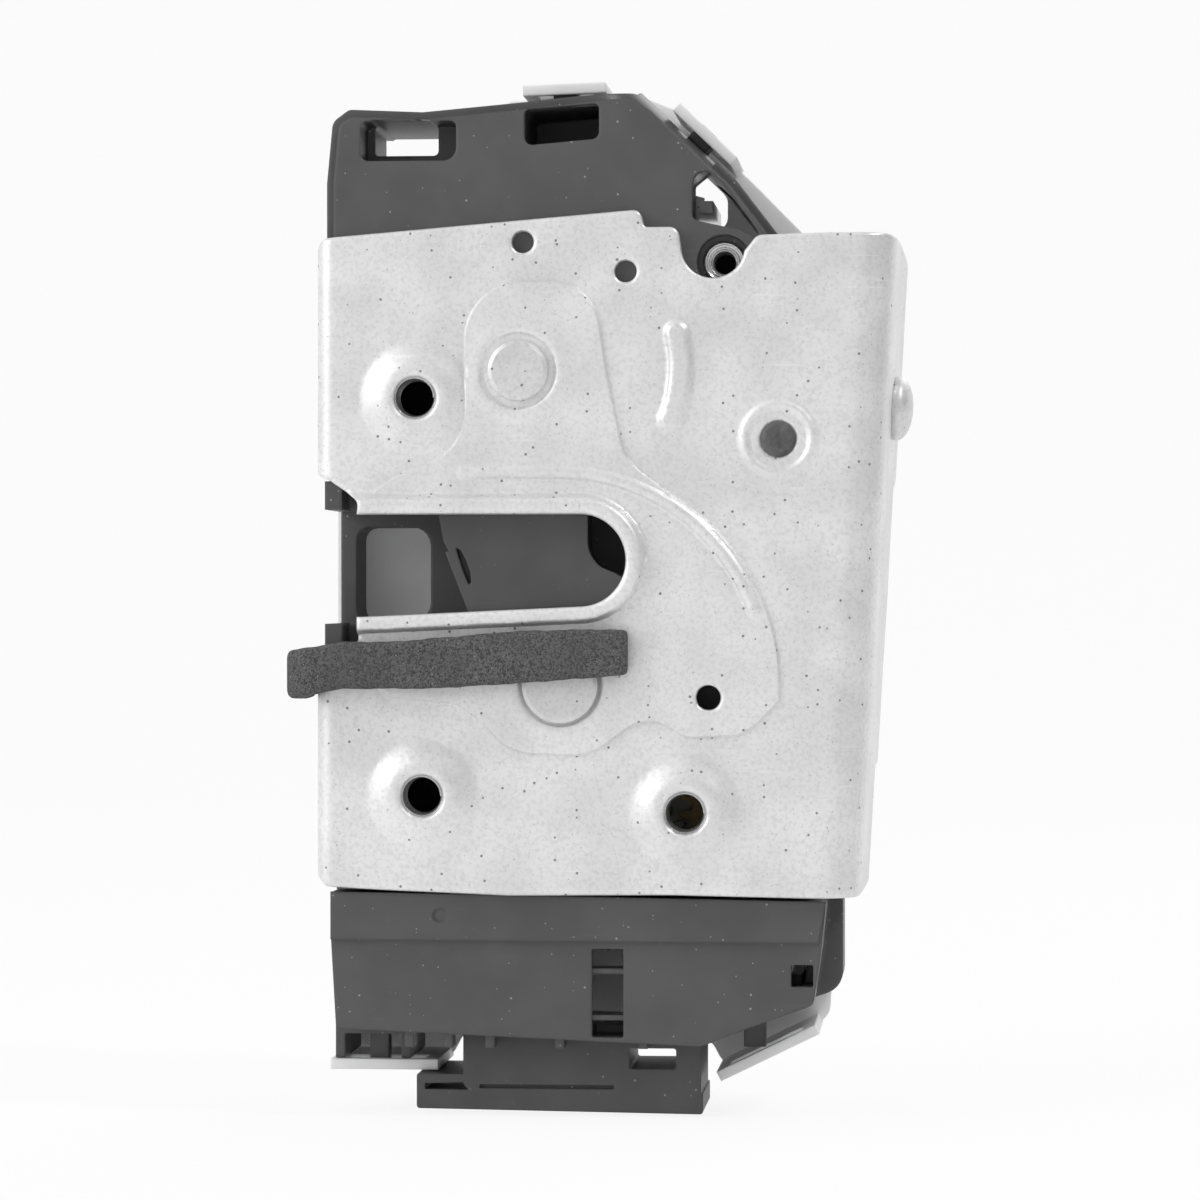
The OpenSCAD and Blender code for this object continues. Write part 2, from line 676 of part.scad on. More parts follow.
// Opening between the two housings for the motor, the wheel and the slide
module drive_gap() {
  left = motor_x - 2;
  slab(floor_back, housing_back + 1) translate([left, -18]) square([50 - left, 6]);
}
module buffer_room() {
  slab(floor_back, channel_depth - 2) translate([slot_end_x + 2, 0]) intersection() {
    translate([-slot_end_x - 2, 0]) slot_shape(2.6);
    square([30, 80]);
  }
}

// Screws that hold the rear cover
screw_at = [[-10.6, 92.6], [56.4, 79], [56.6, -9], [-10, -8]];
screw_r = 1.5;
module screw_posts(r) {
  for (p = screw_at) translate(p) circle(r = r);
}
module screw_holes() {
  for (p = screw_at) bar(p, screw_r, cover_y - 9, cover_back + 3);
}
module cover_screws() {
  color("silver") for (p = screw_at) {
    bar(p, screw_r, cover_y - 8, cover_back);
    difference() {
      bar(p, 3, cover_back, cover_back + 1.8);
      slab(cover_back + 0.8, cover_back + 3) translate(p) circle(r = 1.6, $fn = 6);
    }
  }
}

bush_r = 3.2;
bush_len = 8;
module threaded_bush() {
  color("silver") difference() {
    union() {
      bar(bush_at, bush_r, housing_face, housing_face + bush_len);
      bar(bush_at, bush_r + 0.9, housing_face - 0.8, housing_face);
    }
    bar(bush_at, 2.1, housing_face - 2, housing_face + bush_len + 1);
  }
}

lower_edge = [
  [-14.6, -15, 0.4], [-14.6, -22.4, 0.5], [-13.8, -36.3, 0.8], [-6, -36.6, 0], [42.9, -38.7, 1], [49.1, -36.2, 1],
  [60.2, -32.2, 1.5], [61.4, -24, 1], [62.2, -16.2, 0.8]
];
lower_face = 4.2;
module lower_housing() {
  color([0.19, 0.19, 0.2]) difference() {
    union() {
      slab(lower_face, housing_back) outline(lower_edge);
      // band above the step
      slab(lower_face - 0.7, lower_face)
        outline([[-14.6, -15, 0], [-14.6, -22.4, 0], [61, -22.6, 0], [62.2, -16.2, 0]]);
      // small ribs along the lower edge
      for (x = [-3.2, 2.9, 9.4, 20.2, 33.2]) translate([x, lower_face + 1, -39.2]) cube([1.4, 4, 3]);
      // tab behind the right edge
      slab(20, housing_back) outline([[58, -14.8, 0], [64.4, -14.8, 1], [64.4, -30.8, 3.6], [58, -33, 0]]);
    }
    difference() {
      union() {
        slab(lower_face + wall, housing_back + 1) outline(lower_edge, -wall);
        drive_gap();
      }
      slab(lower_face, housing_back) screw_posts(0.01);
    }
    // window with two ribs and the small square one
    slab(0, 12)
      outline([[26, -37.4, 0.3], [30.9, -37.4, 0.3], [30.9, -23.7, 0.3], [26, -23.7, 0.3]]);
    slab(0, 12)
      outline([[56.8, -29.4, 0.2], [60.2, -29.4, 0.2], [60.2, -26, 0.2], [56.8, -26, 0.2]]);
    bar([2.5, -18.6], 1.1, lower_face - 1, lower_face - 0.4);
  }
  color([0.19, 0.19, 0.2]) {
    for (z = [-27.6, -34.8]) translate([25.8, lower_face + 0.8, z]) cube([5.3, 4, 0.8]);
    // ribs and hooks that carry the cover's lower loops
    for (x = [-15.2, -4.8]) slab(loop_front + 1, housing_back) translate([x, -41.8]) square([1.5, 5.6]);
    slab(loop_front + 1, housing_back) translate([-13.8, -38]) square([10, 1.4]);
    slab(loop_front + 3, loop_front + 6) translate([-10, -42.9]) square([3, 6.4]);
    for (x = [44.6, 56.4])
      slab(loop_front + 1, housing_back) translate([x, -37.6 + 0.36 * (x - 44.6)]) square([1.8, 5]);
    slab(loop_front + 3, loop_front + 6) translate([49, -39.8]) square([3.4, 5.6]);
  }
}
loop_front = 13;

// Rail under the lower housing that slides into the door module
module guide_rail() {
  color([0.16, 0.16, 0.17]) difference() {
    union() {
      slab(10, 30) outline([
        [5.4, -45.4, 0.6], [6.6, -46.6, 0], [42.6, -47.2, 0], [42.6, -38.75, 0], [5.4, -37.15, 0]
      ]);
      slab(10, 30) outline([
        [-1.9, -49.2, 0.5], [42.9, -49.8, 0.5], [42.9, -46.6, 0], [-0.6, -46.2, 0], [-0.6, -45.3, 0],
        [6, -45.1, 0], [6, -43.8, 0], [-1.9, -43.8, 0.3]
      ]);
    }
    slab(9, 31) outline([[31.4, -42.8, 0.4], [38.7, -42.8, 0.4], [38.7, -39.6, 0.4], [31.4, -39.6, 0.4]]);
    slab(9, 10.8) outline([[8, -46, 0], [29, -46, 0], [29, -45.4, 0], [8, -45.4, 0]]);
  }
}

// White cover over the rear
cover_edge = [
  [-17.5, -41.4, 2], [-14, -43.4, 2], [1, -43.4, 2], [3, -39.6, 2], [43, -40.6, 2], [45.2, -44.8, 2],
  [62, -36.6, 3], [63, -16, 4], [66, 50, 4], [62.5, 84, 6], [49.8, 97, 6], [37, 109, 3], [32, 111, 2],
  [10, 110.6, 1], [9.4, 98.4, 1], [-13, 98.4, 3], [-17.5, 92, 4]
];
outside_eye = [40, 92];
inside_eye = [-3, 86];
module snap_loop(at, turn, w) {
  length = cover_y - loop_front;
  translate([at.x, loop_front, at.y]) rotate([0, turn, 0]) difference() {
    translate([-w / 2, 0, 0]) cube([w, length + cover_t, 1.6]);
    translate([-w / 2 + 2.2, 2, -1]) cube([w - 4.4, 5.4, 4]);
  }
}
module rear_cover() {
  color("whitesmoke") difference() {
    union() {
      slab(cover_y, cover_back) outline(cover_edge);
      snap_loop([21, 109.4], -2, 13);
      snap_loop([42.5, 102.4], 43.8, 12.4);
      snap_loop([-7.4, -43.5], 0, 17);
      snap_loop([53.2, -41.2], -26, 17);
      // raised field over the motor and the wheel
      slab(cover_back, cover_back + 2.4)
        outline([[-6, -34, 4], [50, -35, 4], [51, 8, 5], [18, 10, 5], [-6, -10, 5]]);
      bar(key_at, 8, cover_back, cover_back + 2);
    }
    lever_windows();
    bar(key_at, key_shaft_r + fit, cover_y - 1, cover_back + 3);
    for (p = screw_at) bar(p, screw_r, cover_y - 1, cover_back + 1);
    slab(cover_y - 1, cover_back + 3) translate(connector_at) square(connector_size);
    bar(wheel_at, axle_r, cover_y - 1, cover_back + 3);
  }
}
module lever_windows() {
  slab(cover_y - 1, cover_back + 1) outline([
    [34.6, 89.6, 1], [45.6, 89.6, 2], [45.6, 94.6, 2], [41, 100.6, 2], [29.8, 100.6, 2], [29.8, 96, 2]
  ]);
  slab(cover_y - 1, cover_back + 1) outline([
    [-9.8, 76.6, 2], [1.8, 76.6, 2], [2.4, 83, 2], [2.4, 88.6, 2], [-8, 88.6, 2], [-9.8, 84, 2]
  ]);
}

// Release levers on their common pin
finger_reach = [-12.5, -1];
module lever_shape(arm) {
  circle(r = 7);
  polygon([
    [0, 7], [-2, 7], finger_reach + [-2.4, 1.4], finger_reach + [-2.4, -1.2],
    finger_reach + [3, -1.2], [-2, -7], [0, -7]
  ]);
  d = unit(arm);
  n = [-d.y, d.x];
  polygon([6 * n, arm + 3 * n, arm + 3 * d, arm - 3 * n, -6 * n]);
}
module lever_foot(eye, y0) {
  translate([eye.x - 4, y0, eye.y - 1]) cube([8, cover_back + 8 - y0, 2]);
}
module outside_lever() {
  color("lightsteelblue") difference() {
    union() {
      slab(slide_y, slide_y + lever_t) {
        translate(lever_at) lever_shape(outside_eye - lever_at);
        translate(lever_at) polygon([[-6, -3], [0.5, -23], [6.5, -23], [6.6, -3]]);
      }
      lever_foot(outside_eye, slide_y);
    }
    bar(lever_at, lever_pin_r + fit, slide_y - 1, slide_back);
    translate([outside_eye.x, cover_back + 5, outside_eye.y - 3]) cylinder(r = 2, h = 6);
  }
}
module inside_lever() {
  color("lightsteelblue") difference() {
    union() {
      slab(inside_y, inside_back) translate(lever_at) lever_shape(inside_eye - lever_at);
      lever_foot(inside_eye, inside_y);
    }
    bar(lever_at, lever_pin_r + fit, inside_y - 1, inside_back + 1);
    translate([inside_eye.x, cover_back + 5, inside_eye.y - 3]) cylinder(r = 2, h = 6);
  }
}
module lever_spacer() {
  color("tan") difference() {
    bar(lever_at, 5, slide_y + lever_t + 0.2, inside_y - 0.2);
    bar(lever_at, lever_pin_r, slide_y, inside_y);
  }
}
module lever_pin() {
  color("silver") {
    bar(lever_at, lever_pin_r, floor_y + 0.8, inside_back + 2.4);
    difference() {
      bar(lever_at, 5.6, carrier_back, slide_y - 0.3);
      bar(lever_at, lever_pin_r - 1, carrier_back - 1, slide_y);
    }
  }
}
module lever_pin_clip() {
  color("dimgray") difference() {
    bar(lever_at, 5.4, inside_back + 0.3, inside_back + 1.1);
    bar(lever_at, lever_pin_r, inside_back, inside_back + 2);
    slab(inside_back, inside_back + 2) translate(lever_at + [-1, -8]) square([2, 6]);
  }
}

// Lock drive: motor, worm, wheel with pinion, and the slide with its rack
axle_r = 2;
function tooth(r0, w0, r1, w1, r2, w2) = [
  [r0, -w0 / 2], [r1, -w1 / 2], [r2, -w2 / 2], [r2, w2 / 2], [r1, w1 / 2], [r0, w0 / 2]
];
module worm_wheel() {
  wheel_y = slide_back + 1;
  pinion_teeth = 12;
  color("ivory") difference() {
    union() {
      slab(wheel_y, wheel_y + 4) translate(wheel_at) {
        circle(r = wheel_pitch_r - 0.5);
        for (k = [0:wheel_teeth - 1]) rotate(-90 + k * 360 / wheel_teeth)
          polygon(tooth(wheel_pitch_r - 0.8, 1.3, wheel_pitch_r, 0.7, wheel_pitch_r + 0.4, 0.3));
      }
      slab(slide_y + 0.1, wheel_y) translate(wheel_at) {
        circle(r = pinion_r - 1.1);
        for (k = [0:pinion_teeth - 1]) rotate(k * 360 / pinion_teeth)
          polygon(tooth(pinion_r - 1.5, 1.9, pinion_r, 1.15, pinion_r + 0.75, 0.5));
      }
    }
    bar(wheel_at, axle_r + fit, 0, 40);
  }
}
module wheel_axle() {
  color("silver") bar(wheel_at, axle_r, floor_y + 0.8, cover_back + 0.8);
}
rack_pitch = PI * pinion_r / 6;
slide_x = wheel_at.x + pinion_r;
slide_foot = wheel_at.y - 9;
finger_z = 50;
finger_tip = 30.2;
notch_z = key_at.y - slide_travel / 2;
module rack_tooth(k) {
  slab(slide_y, slide_back) translate([slide_x, wheel_at.y + (k - 0.5) * rack_pitch]) polygon([
    [1.6, -0.95], [1.3, -0.95], [0, -0.55], [-0.75, -0.22], [-0.75, 0.22], [0, 0.55], [1.3, 0.95], [1.6, 0.95]
  ]);
}
module lock_slide() {
  x0 = slide_x + 1.2;
  x1 = slide_x + 8;
  color("goldenrod") difference() {
    union() {
      slab(slide_y, slide_back) polygon([
        [x0, slide_foot], [x1, slide_foot], [x1, finger_z + 4],
        [finger_tip, finger_z + 4], [finger_tip, finger_z], [x0, finger_z]
      ]);
      for (k = [-2:4]) rack_tooth(k);
    }
    // notch for the key lever's arm
    slab(slide_y - 1, slide_back + 1) translate([slide_x + 5, notch_z - 2.4]) square([6, 4.8]);
    slab(0, 60)
      outline([[slide_x + 2.6, 4, 1], [slide_x + 5, 4, 1], [slide_x + 5, 18, 1], [slide_x + 2.6, 18, 1]]);
  }
}
key_shaft_r = 4.6;
key_turn = atan((slide_travel / 2) / (key_at.x - slide_x - 7.4));
module key_lever() {
  arm = key_at.x - slide_x - 7.4;
  color("dimgray") difference() {
    union() {
      slab(slide_y, slide_back) translate(key_at) rotate(key_turn) {
        circle(r = 5);
        polygon([[0, 4.6], [-arm, 1.7], [-arm, -1.7], [0, -4.6]]);
        translate([-arm, 0]) circle(r = 1.9);
      }
      bar(key_at, key_shaft_r, slide_back, cover_back + 5);
      bar(key_at, 2.4, carrier_back + 0.3, slide_y);
    }
    slab(cover_back - 3, cover_back + 6) translate(key_at) {
      square([5, 1.6], center = true);
      square([1.6, 5], center = true);
    }
  }
}

motor_z = wheel_at.y - worm_drop;
motor_y = slide_back + 3;
motor_x = wheel_at.x - 14 - motor_len;
module along_x(x, r, l) {
  translate([x, motor_y, motor_z]) rotate([0, 90, 0]) cylinder(r = r, h = l);
}
module motor_can() {
  color("silver") difference() {
    intersection() {
      along_x(motor_x, motor_r, motor_len);
      translate([motor_x - 1, motor_y - 7.6, motor_z - 20]) cube([motor_len + 2, 15.2, 40]);
    }
    along_x(motor_x - 1, motor_r - 1.2, motor_len - 0.4);
    along_x(motor_x, 2.2, motor_len + 1);
  }
}
module motor_cap() {
  color([0.15, 0.15, 0.15]) difference() {
    union() {
      intersection() {
        along_x(motor_x + 0.2, motor_r - 1.3, 2.4);
        translate([motor_x - 1, motor_y - 6.6, motor_z - 20]) cube([motor_len + 2, 13.2, 40]);
      }
      along_x(motor_x - 2, 3.4, 2.4);
    }
    along_x(motor_x - 1, 1 + fit, 6);
  }
}
module motor_shaft() {
  color("lightgray") {
    along_x(motor_x - 0.8, 1, wheel_at.x + 10 - motor_x);
    along_x(motor_x + 4, 6, motor_len - 8);
  }
}
module motor_worm() {
  length = 14;
  turns = length / worm_pitch;
  color("khaki") difference() {
    translate([wheel_at.x - length / 2, motor_y, motor_z]) rotate([0, 90, 0]) rotate(worm_phase)
      linear_extrude(height = length, twist = -360 * turns, slices = 42)
        translate([worm_depth, 0]) circle(r = worm_mean_r, $fn = 13);
    along_x(wheel_at.x - 20, 1, 40);
  }
}
worm_phase = 0;

// Door ajar switch at the claw's outer edge, with its plunger pointing at the pivot
switch_a = 25;
switch_r = 35.4;
switch_d = 5.6;
switch_w = 11;
plunger_r = 1.1;
plunger_travel = 1.2;
module switch_place() {
  translate(claw_at) rotate(switch_a) translate([switch_r + switch_d / 2, 0]) children();
}
module along_plunger(from) {
  translate([claw_at.x, claw_y + 3.5, claw_at.y]) rotate([0, -switch_a, 0])
    translate([from, 0, 0]) rotate([0, 90, 0]) children();
}
module plunger_line(r, from, to) {
  along_plunger(from) cylinder(r = r, h = to - from);
}
module ajar_switch() {
  color([0.7, 0.15, 0.1]) difference() {
    slab(claw_y + 0.2, claw_back) switch_place() square([switch_d, switch_w], center = true);
    plunger_line(plunger_r + fit, switch_r - 1, switch_r + 4.6);
  }
}
module switch_plunger() {
  tip = claw_r + 0.8 + 0.3 - 0.86 * plunger_travel;
  color("ivory") {
    plunger_line(plunger_r, tip + 0.5, switch_r + 3);
    along_plunger(tip) cylinder(r1 = 0.5, r2 = plunger_r, h = 0.5);
  }
}

// Electrical connector at the rear
connector_at = [2.2, 26.2];
connector_size = [23.6, 17.6];
connector_wall = 1.8;
pin_w = 1.2;
pin_margin = 4;
pin_step = (connector_size.x - 2 * pin_margin + 0.4) / 5;
module pin_grid() {
  for (i = [0:5]) for (j = [0:1])
    translate(connector_at + [pin_margin + i * pin_step, 5.4 + j * 5.6]) square([pin_w, pin_w]);
}
module connector_socket() {
  inner = connector_size - 2 * [connector_wall, connector_wall];
  color([0.15, 0.15, 0.16]) difference() {
    slab(housing_back - 7, cover_back + 10) translate(connector_at) square(connector_size);
    slab(housing_back - 5, cover_back + 11)
      translate(connector_at + [connector_wall, connector_wall]) square(inner);
    slab(housing_back - 8, housing_back) pin_grid();
  }
}
module connector_pins() {
  color("goldenrod") slab(channel_depth + wall + 0.6, cover_back + 5) pin_grid();
}
// Stamped strips on the cover's inner face, from the connector down to the motor
module contact_strips() {
  color("peru") for (k = [0:2]) slab(cover_y - 0.5, cover_y)
    translate([4 + 4 * k, -14]) square([1.8, 39]);
}

foam_z = 20;
foam_wrap = 8.4;
// Foam strip across the lower lip and round the plate's left edge
module foam_seal() {
  low = foam_z - foam_h / 2;
  top = foam_z + foam_h / 2;
  back = face_y - field_h - 0.3;
  color([0.18, 0.18, 0.18]) difference() {
    union() {
      slab(back - foam_t, back)
        outline([
          [-18, low, 2], [14.7, low + 1, 0], [32.4, low + 2, 0.6], [31.8, top + 1.6, 0.8], [-4, top, 2],
          [-18, top - 0.4, 2]
        ]);
      slab(back - foam_t, back + foam_wrap)
        outline([[-21.4, low + 0.6, 2.4], [-17.2, low, 1.2], [-17, top - 1.4, 1], [-20.6, top - 1.6, 2]]);
    }
    bar(claw_at, claw_head_r + 0.3, face_y - field_h - 1.4, back + 1);
  }
}

latch_plate();
back_plate();
claw_pin();
pawl_pin();
tie_rivet();
flange_rivet();
main_housing();
lower_housing();
rear_cover();
guide_rail();
foam_seal();
threaded_bush();
striker_buffer();
claw_stop();
pawl_stop();
claw_core();
claw_cover();
claw_spring();
pawl_core();
pawl_cover();
pawl_release_pin();
pawl_spring();
lever_pin();
lever_pin_clip();
outside_lever();
inside_lever();
lever_spacer();
key_lever();
lock_slide();
worm_wheel();
wheel_axle();
motor_can();
motor_cap();
motor_shaft();
motor_worm();
ajar_switch();
switch_plunger();
connector_socket();
connector_pins();
contact_strips();
cover_screws();
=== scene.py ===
"""Side door latch: the looks of the part, written as an add-on with one operator for each group of pieces."""

import math

import bmesh
import bpy
import numpy as np
from bpy.props import FloatProperty, FloatVectorProperty, PointerProperty
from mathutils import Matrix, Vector, kdtree, noise
from mathutils.geometry import delaunay_2d_cdt


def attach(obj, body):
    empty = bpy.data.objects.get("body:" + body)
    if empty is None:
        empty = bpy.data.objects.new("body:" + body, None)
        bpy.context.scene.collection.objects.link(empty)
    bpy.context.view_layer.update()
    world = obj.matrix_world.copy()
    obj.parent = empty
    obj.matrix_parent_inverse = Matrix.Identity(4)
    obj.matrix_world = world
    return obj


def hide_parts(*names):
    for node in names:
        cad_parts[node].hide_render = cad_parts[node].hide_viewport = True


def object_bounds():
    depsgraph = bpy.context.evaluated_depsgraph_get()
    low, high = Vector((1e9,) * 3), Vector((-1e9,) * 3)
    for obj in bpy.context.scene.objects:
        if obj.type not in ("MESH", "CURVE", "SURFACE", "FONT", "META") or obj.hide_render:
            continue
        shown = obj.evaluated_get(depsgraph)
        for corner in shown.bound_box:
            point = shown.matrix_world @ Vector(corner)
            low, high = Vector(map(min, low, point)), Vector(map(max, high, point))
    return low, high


bl_info = {
    "name": "Side door latch",
    "version": (1, 0, 0),
    "blender": (4, 5, 0),
    "location": "3D View > Sidebar > Door Latch",
    "description": "Builds the pressed plate, rivets, threads, foam and finishes of a power door latch",
    "category": "Object",
}

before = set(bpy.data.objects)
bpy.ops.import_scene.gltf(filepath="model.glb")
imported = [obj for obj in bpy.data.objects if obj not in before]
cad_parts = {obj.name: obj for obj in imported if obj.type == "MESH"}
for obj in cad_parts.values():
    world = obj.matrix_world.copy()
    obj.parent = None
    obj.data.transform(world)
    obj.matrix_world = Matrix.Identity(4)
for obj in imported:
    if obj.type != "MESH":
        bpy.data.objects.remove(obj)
cad_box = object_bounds()

MM = 0.001

# Places in millimetres, as X and Z on the plate
CLAW_PIVOT = (21.4, 17.1)
PAWL_PIVOT = (14.9, 65.5)
TIE_RIVET = (54.9, 54.9)
FIXING_HOLES = ((0.0, 0.0), (-1.1, 61.4), (40.6, -2.5))
SMALL_HOLES = ((15.5, 85.4, 1.7), (31.4, 80.8, 1.7), (44.2, 15.2, 1.9))
BUSH, BUSH_END = (46.5, 82.3), 14.4
FACE_Y = 1.5
FOLD_X, FOLD_R, FOLD_LEAN, FLANGE_SPLAY = 68.2, 6.0, math.radians(3.3), math.radians(3.0)
FOLD_TURN = math.pi / 2 - FLANGE_SPLAY
FOLD_ARC = FOLD_R * FOLD_TURN
LEFT_FOLD_X, LEFT_FOLD_R = -14.0, 2.6
SLOT_Z, SLOT_END_X, SLOT_R = 36.3, 24.5, 7.1
SLOT_MOUTH_X, LIP_START_X = -9.9, -9.6
RIB_CENTRE, RIB_R, RIB_START, RIB_TURN = (21.0, 17.8), 32.1, (6.5, 49.9), (90, 20)
OBLONG_CENTRE, OBLONG_R, OBLONG_TURN = (18.3, 66.0), 21.6, (-22, 14)
RIVET_ON_FLANGE = (13.3, 60.5)
DISCS = ((CLAW_PIVOT, 5.25), (PAWL_PIVOT, 4.7))


# Shader maths


class Signal:
    """A socket of a node tree, so that sums of masks read as plain expressions."""

    def __init__(self, graph, socket):
        self.graph = graph
        self.socket = socket

    def math(self, operation, *others):
        return self.graph.node("ShaderNodeMath", {"operation": operation}, dict(enumerate((self, *others))))

    def __add__(self, other):
        return self.math("ADD", other)

    __radd__ = __add__

    def __sub__(self, other):
        return self.math("SUBTRACT", other)

    def __rsub__(self, other):
        return self.graph.node("ShaderNodeMath", {"operation": "SUBTRACT"}, {0: other, 1: self})

    def __mul__(self, other):
        return self.math("MULTIPLY", other)

    __rmul__ = __mul__

    def __gt__(self, other):
        return self.math("GREATER_THAN", other)

    def band(self, low, high):
        """0 below low, 1 above high, smooth between."""
        return self.graph.node(
            "ShaderNodeMapRange",
            {"interpolation_type": "SMOOTHSTEP"},
            {"Value": self, "From Min": low, "From Max": high},
        )


class Graph:
    """The node tree of a material or of the sky."""

    def __init__(self, owner):
        owner.use_nodes = True
        self.nodes, self.links = owner.node_tree.nodes, owner.node_tree.links
        self.nodes.clear()

    def node(self, kind, settings, inputs, output=0):
        made = self.nodes.new(kind)
        for key, value in settings.items():
            setattr(made, key, value)
        for key, value in inputs.items():
            if isinstance(value, Signal):
                self.links.new(value.socket, made.inputs[key])
            else:
                made.inputs[key].default_value = value
        return Signal(self, made.outputs[output])

    def end_in(self, kind, shader):
        self.links.new(shader.socket, self.nodes.new(kind).inputs[0])


class Finish(Graph):
    """A procedural material with one Principled shader."""

    def __init__(self, name, roughness=0.5, metallic=0.0, specular=0.5):
        self.material = bpy.data.materials.new(name)
        super().__init__(self.material)
        self.shader = self.nodes.new("ShaderNodeBsdfPrincipled")
        self.shader.inputs["Roughness"].default_value = roughness
        self.shader.inputs["Metallic"].default_value = metallic
        self.shader.inputs["Specular IOR Level"].default_value = specular
        self.end_in("ShaderNodeOutputMaterial", Signal(self, self.shader.outputs[0]))
        self.place = self.node("ShaderNodeTexCoord", {}, {}, "Object")

    def mapped(self, scale=(1, 1, 1), turn=(0, 0, 0), shift=(0, 0, 0)):
        inputs = {"Vector": self.place, "Scale": scale, "Rotation": turn, "Location": shift}
        return self.node("ShaderNodeMapping", {}, inputs)

    def grain(self, scale, detail=2.0, roughness=0.5, at=None):
        inputs = {"Vector": at or self.place, "Scale": scale, "Detail": detail, "Roughness": roughness}
        return self.node("ShaderNodeTexNoise", {}, inputs, "Fac")

    def dots(self, per_metre, radius, share, shift=(0, 0, 0)):
        """Round specks: a share of a Voronoi pattern's cells carries a dot of that radius in cells."""
        cells = {"Vector": self.mapped(shift=shift), "Scale": per_metre}
        far = self.node("ShaderNodeTexVoronoi", {}, cells, "Distance")
        pick = self.node("ShaderNodeTexVoronoi", {}, cells, "Color")
        part = self.node("ShaderNodeSeparateColor", {}, {"Color": pick}, 0)
        return (1 - far.band(radius * 0.6, radius)) * (part > 1 - share)

    def scratches(self, turn, per_metre, share, shift):
        """Fine straight scratches in one direction, cut to short lengths."""
        at = self.mapped((per_metre * 0.02, per_metre * 0.02, per_metre), turn, shift)
        line = self.node("ShaderNodeTexNoise", {}, {"Vector": at, "Scale": 1.0, "Detail": 1.0}, "Fac")
        return line.band(1 - share, 1 - share * 0.6)

    def mix(self, factor, first, second):
        """Colour between two colours, each a triple or a link."""
        whole = lambda c: c if isinstance(c, Signal) else (*c, 1.0)
        made = self.nodes.new("ShaderNodeMix")
        made.data_type = "RGBA"
        for index, value in ((0, factor), (6, whole(first)), (7, whole(second))):
            if isinstance(value, Signal):
                self.links.new(value.socket, made.inputs[index])
            else:
                made.inputs[index].default_value = value
        return Signal(self, made.outputs[2])

    def edge_normal(self, radius):
        return self.node("ShaderNodeBevel", {"samples": 6}, {"Radius": radius}, "Normal")

    def edge_mask(self, radius):
        """Where an edge is near: the rounded normal leaves the true one."""
        rounded = self.edge_normal(radius)
        true = self.node("ShaderNodeNewGeometry", {}, {}, "True Normal")
        along = self.node(
            "ShaderNodeVectorMath", {"operation": "DOT_PRODUCT"}, {0: rounded, 1: true}, "Value"
        )
        return (1 - along).band(0.004, 0.2)

    def bump(self, height, distance, strength=1.0, normal=None):
        inputs = {"Height": height, "Distance": distance, "Strength": strength}
        if normal:
            inputs["Normal"] = normal
        return self.node("ShaderNodeBump", {}, inputs, "Normal")

    def feed(self, **sockets):
        names = {"colour": "Base Color", "rough": "Roughness", "metal": "Metallic", "normal": "Normal"}
        for key, value in sockets.items():
            self.links.new(value.socket, self.shader.inputs[names[key]])
        return self.material


def tone(level, tint=(0, 0, 0)):
    """A grey as it reads on a screen, from 0 to 1, turned into the linear value of the shader."""
    linear = lambda c: c / 12.92 if c <= 0.04045 else ((c + 0.055) / 1.055) ** 2.4
    return tuple(linear(max(0.0, min(1.0, level + t))) for t in tint)


def zinc_sheet(name, level):
    """Zinc plated sheet: cloudy grey, dark pores, handling scratches, pebbled where it was drawn."""
    f = Finish(name, roughness=0.42, metallic=0.62, specular=0.5)
    clouds = f.grain(90, 3.0)
    mottle = f.grain(1500, 3.0, 0.6)
    pores = f.dots(620, 0.16, 0.34)
    flecks = f.dots(1500, 0.2, 0.2, (0.3, 0.1, 0.2))
    lines = f.scratches((0.2, 0.6, 0.3), 2600, 0.34, (1, 2, 3)) * f.grain(160, 1.0).band(0.52, 0.66)
    cross = f.scratches((0.1, -0.9, 0.2), 3200, 0.33, (4, 1, 2)) * f.grain(130, 1.0, 0.5).band(0.55, 0.7)
    base = f.mix(clouds.band(0.3, 0.7), tone(level - 0.03), tone(level + 0.02))
    base = f.mix(mottle.band(0.42, 0.7) * 0.35, base, tone(level - 0.16))
    base = f.mix(pores * 0.75, base, tone(0.34))
    base = f.mix(flecks * 0.4, base, tone(0.45))
    base = f.mix((lines + cross) * 0.35, base, tone(level + 0.1))
    height = f.node("ShaderNodeSeparateXYZ", {}, {"Vector": f.place}, "Z")
    pebble = f.grain(1150, 2.0, 0.55) * (1 - height.band(-0.004, 0.05) * 0.75)
    relief = pebble + mottle * 0.25 - pores * 0.5 - (lines + cross) * 0.12
    rough = 0.36 + clouds * 0.1 + pores * 0.3 + mottle * 0.08
    return f.feed(colour=base, rough=rough, normal=f.bump(relief, 0.00009, 0.6))


def worn_steel(name, level, rough_base, coarse):
    """Bare or zinc plated steel of pins and levers, with rub marks and bright edges."""
    f = Finish(name, metallic=0.85)
    clouds = f.grain(260, 3.0)
    fine = f.grain(2400, 3.0, 0.6)
    pits = f.dots(1100, 0.2, 0.3, (0.1, 0.3, 0.2))
    edge = f.edge_mask(0.0003)
    base = f.mix(clouds.band(0.35, 0.7), tone(level - 0.06), tone(level + 0.03))
    base = f.mix(pits * 0.6, base, tone(level * 0.5))
    base = f.mix(edge * 0.5, base, tone(min(1.0, level + 0.12)))
    rough = rough_base + fine * 0.2 - edge * 0.1
    relief = fine * coarse + clouds * 0.4 - pits * 0.4
    return f.feed(colour=base, rough=rough, normal=f.bump(relief, 0.00008, 0.7, f.edge_normal(0.00025)))


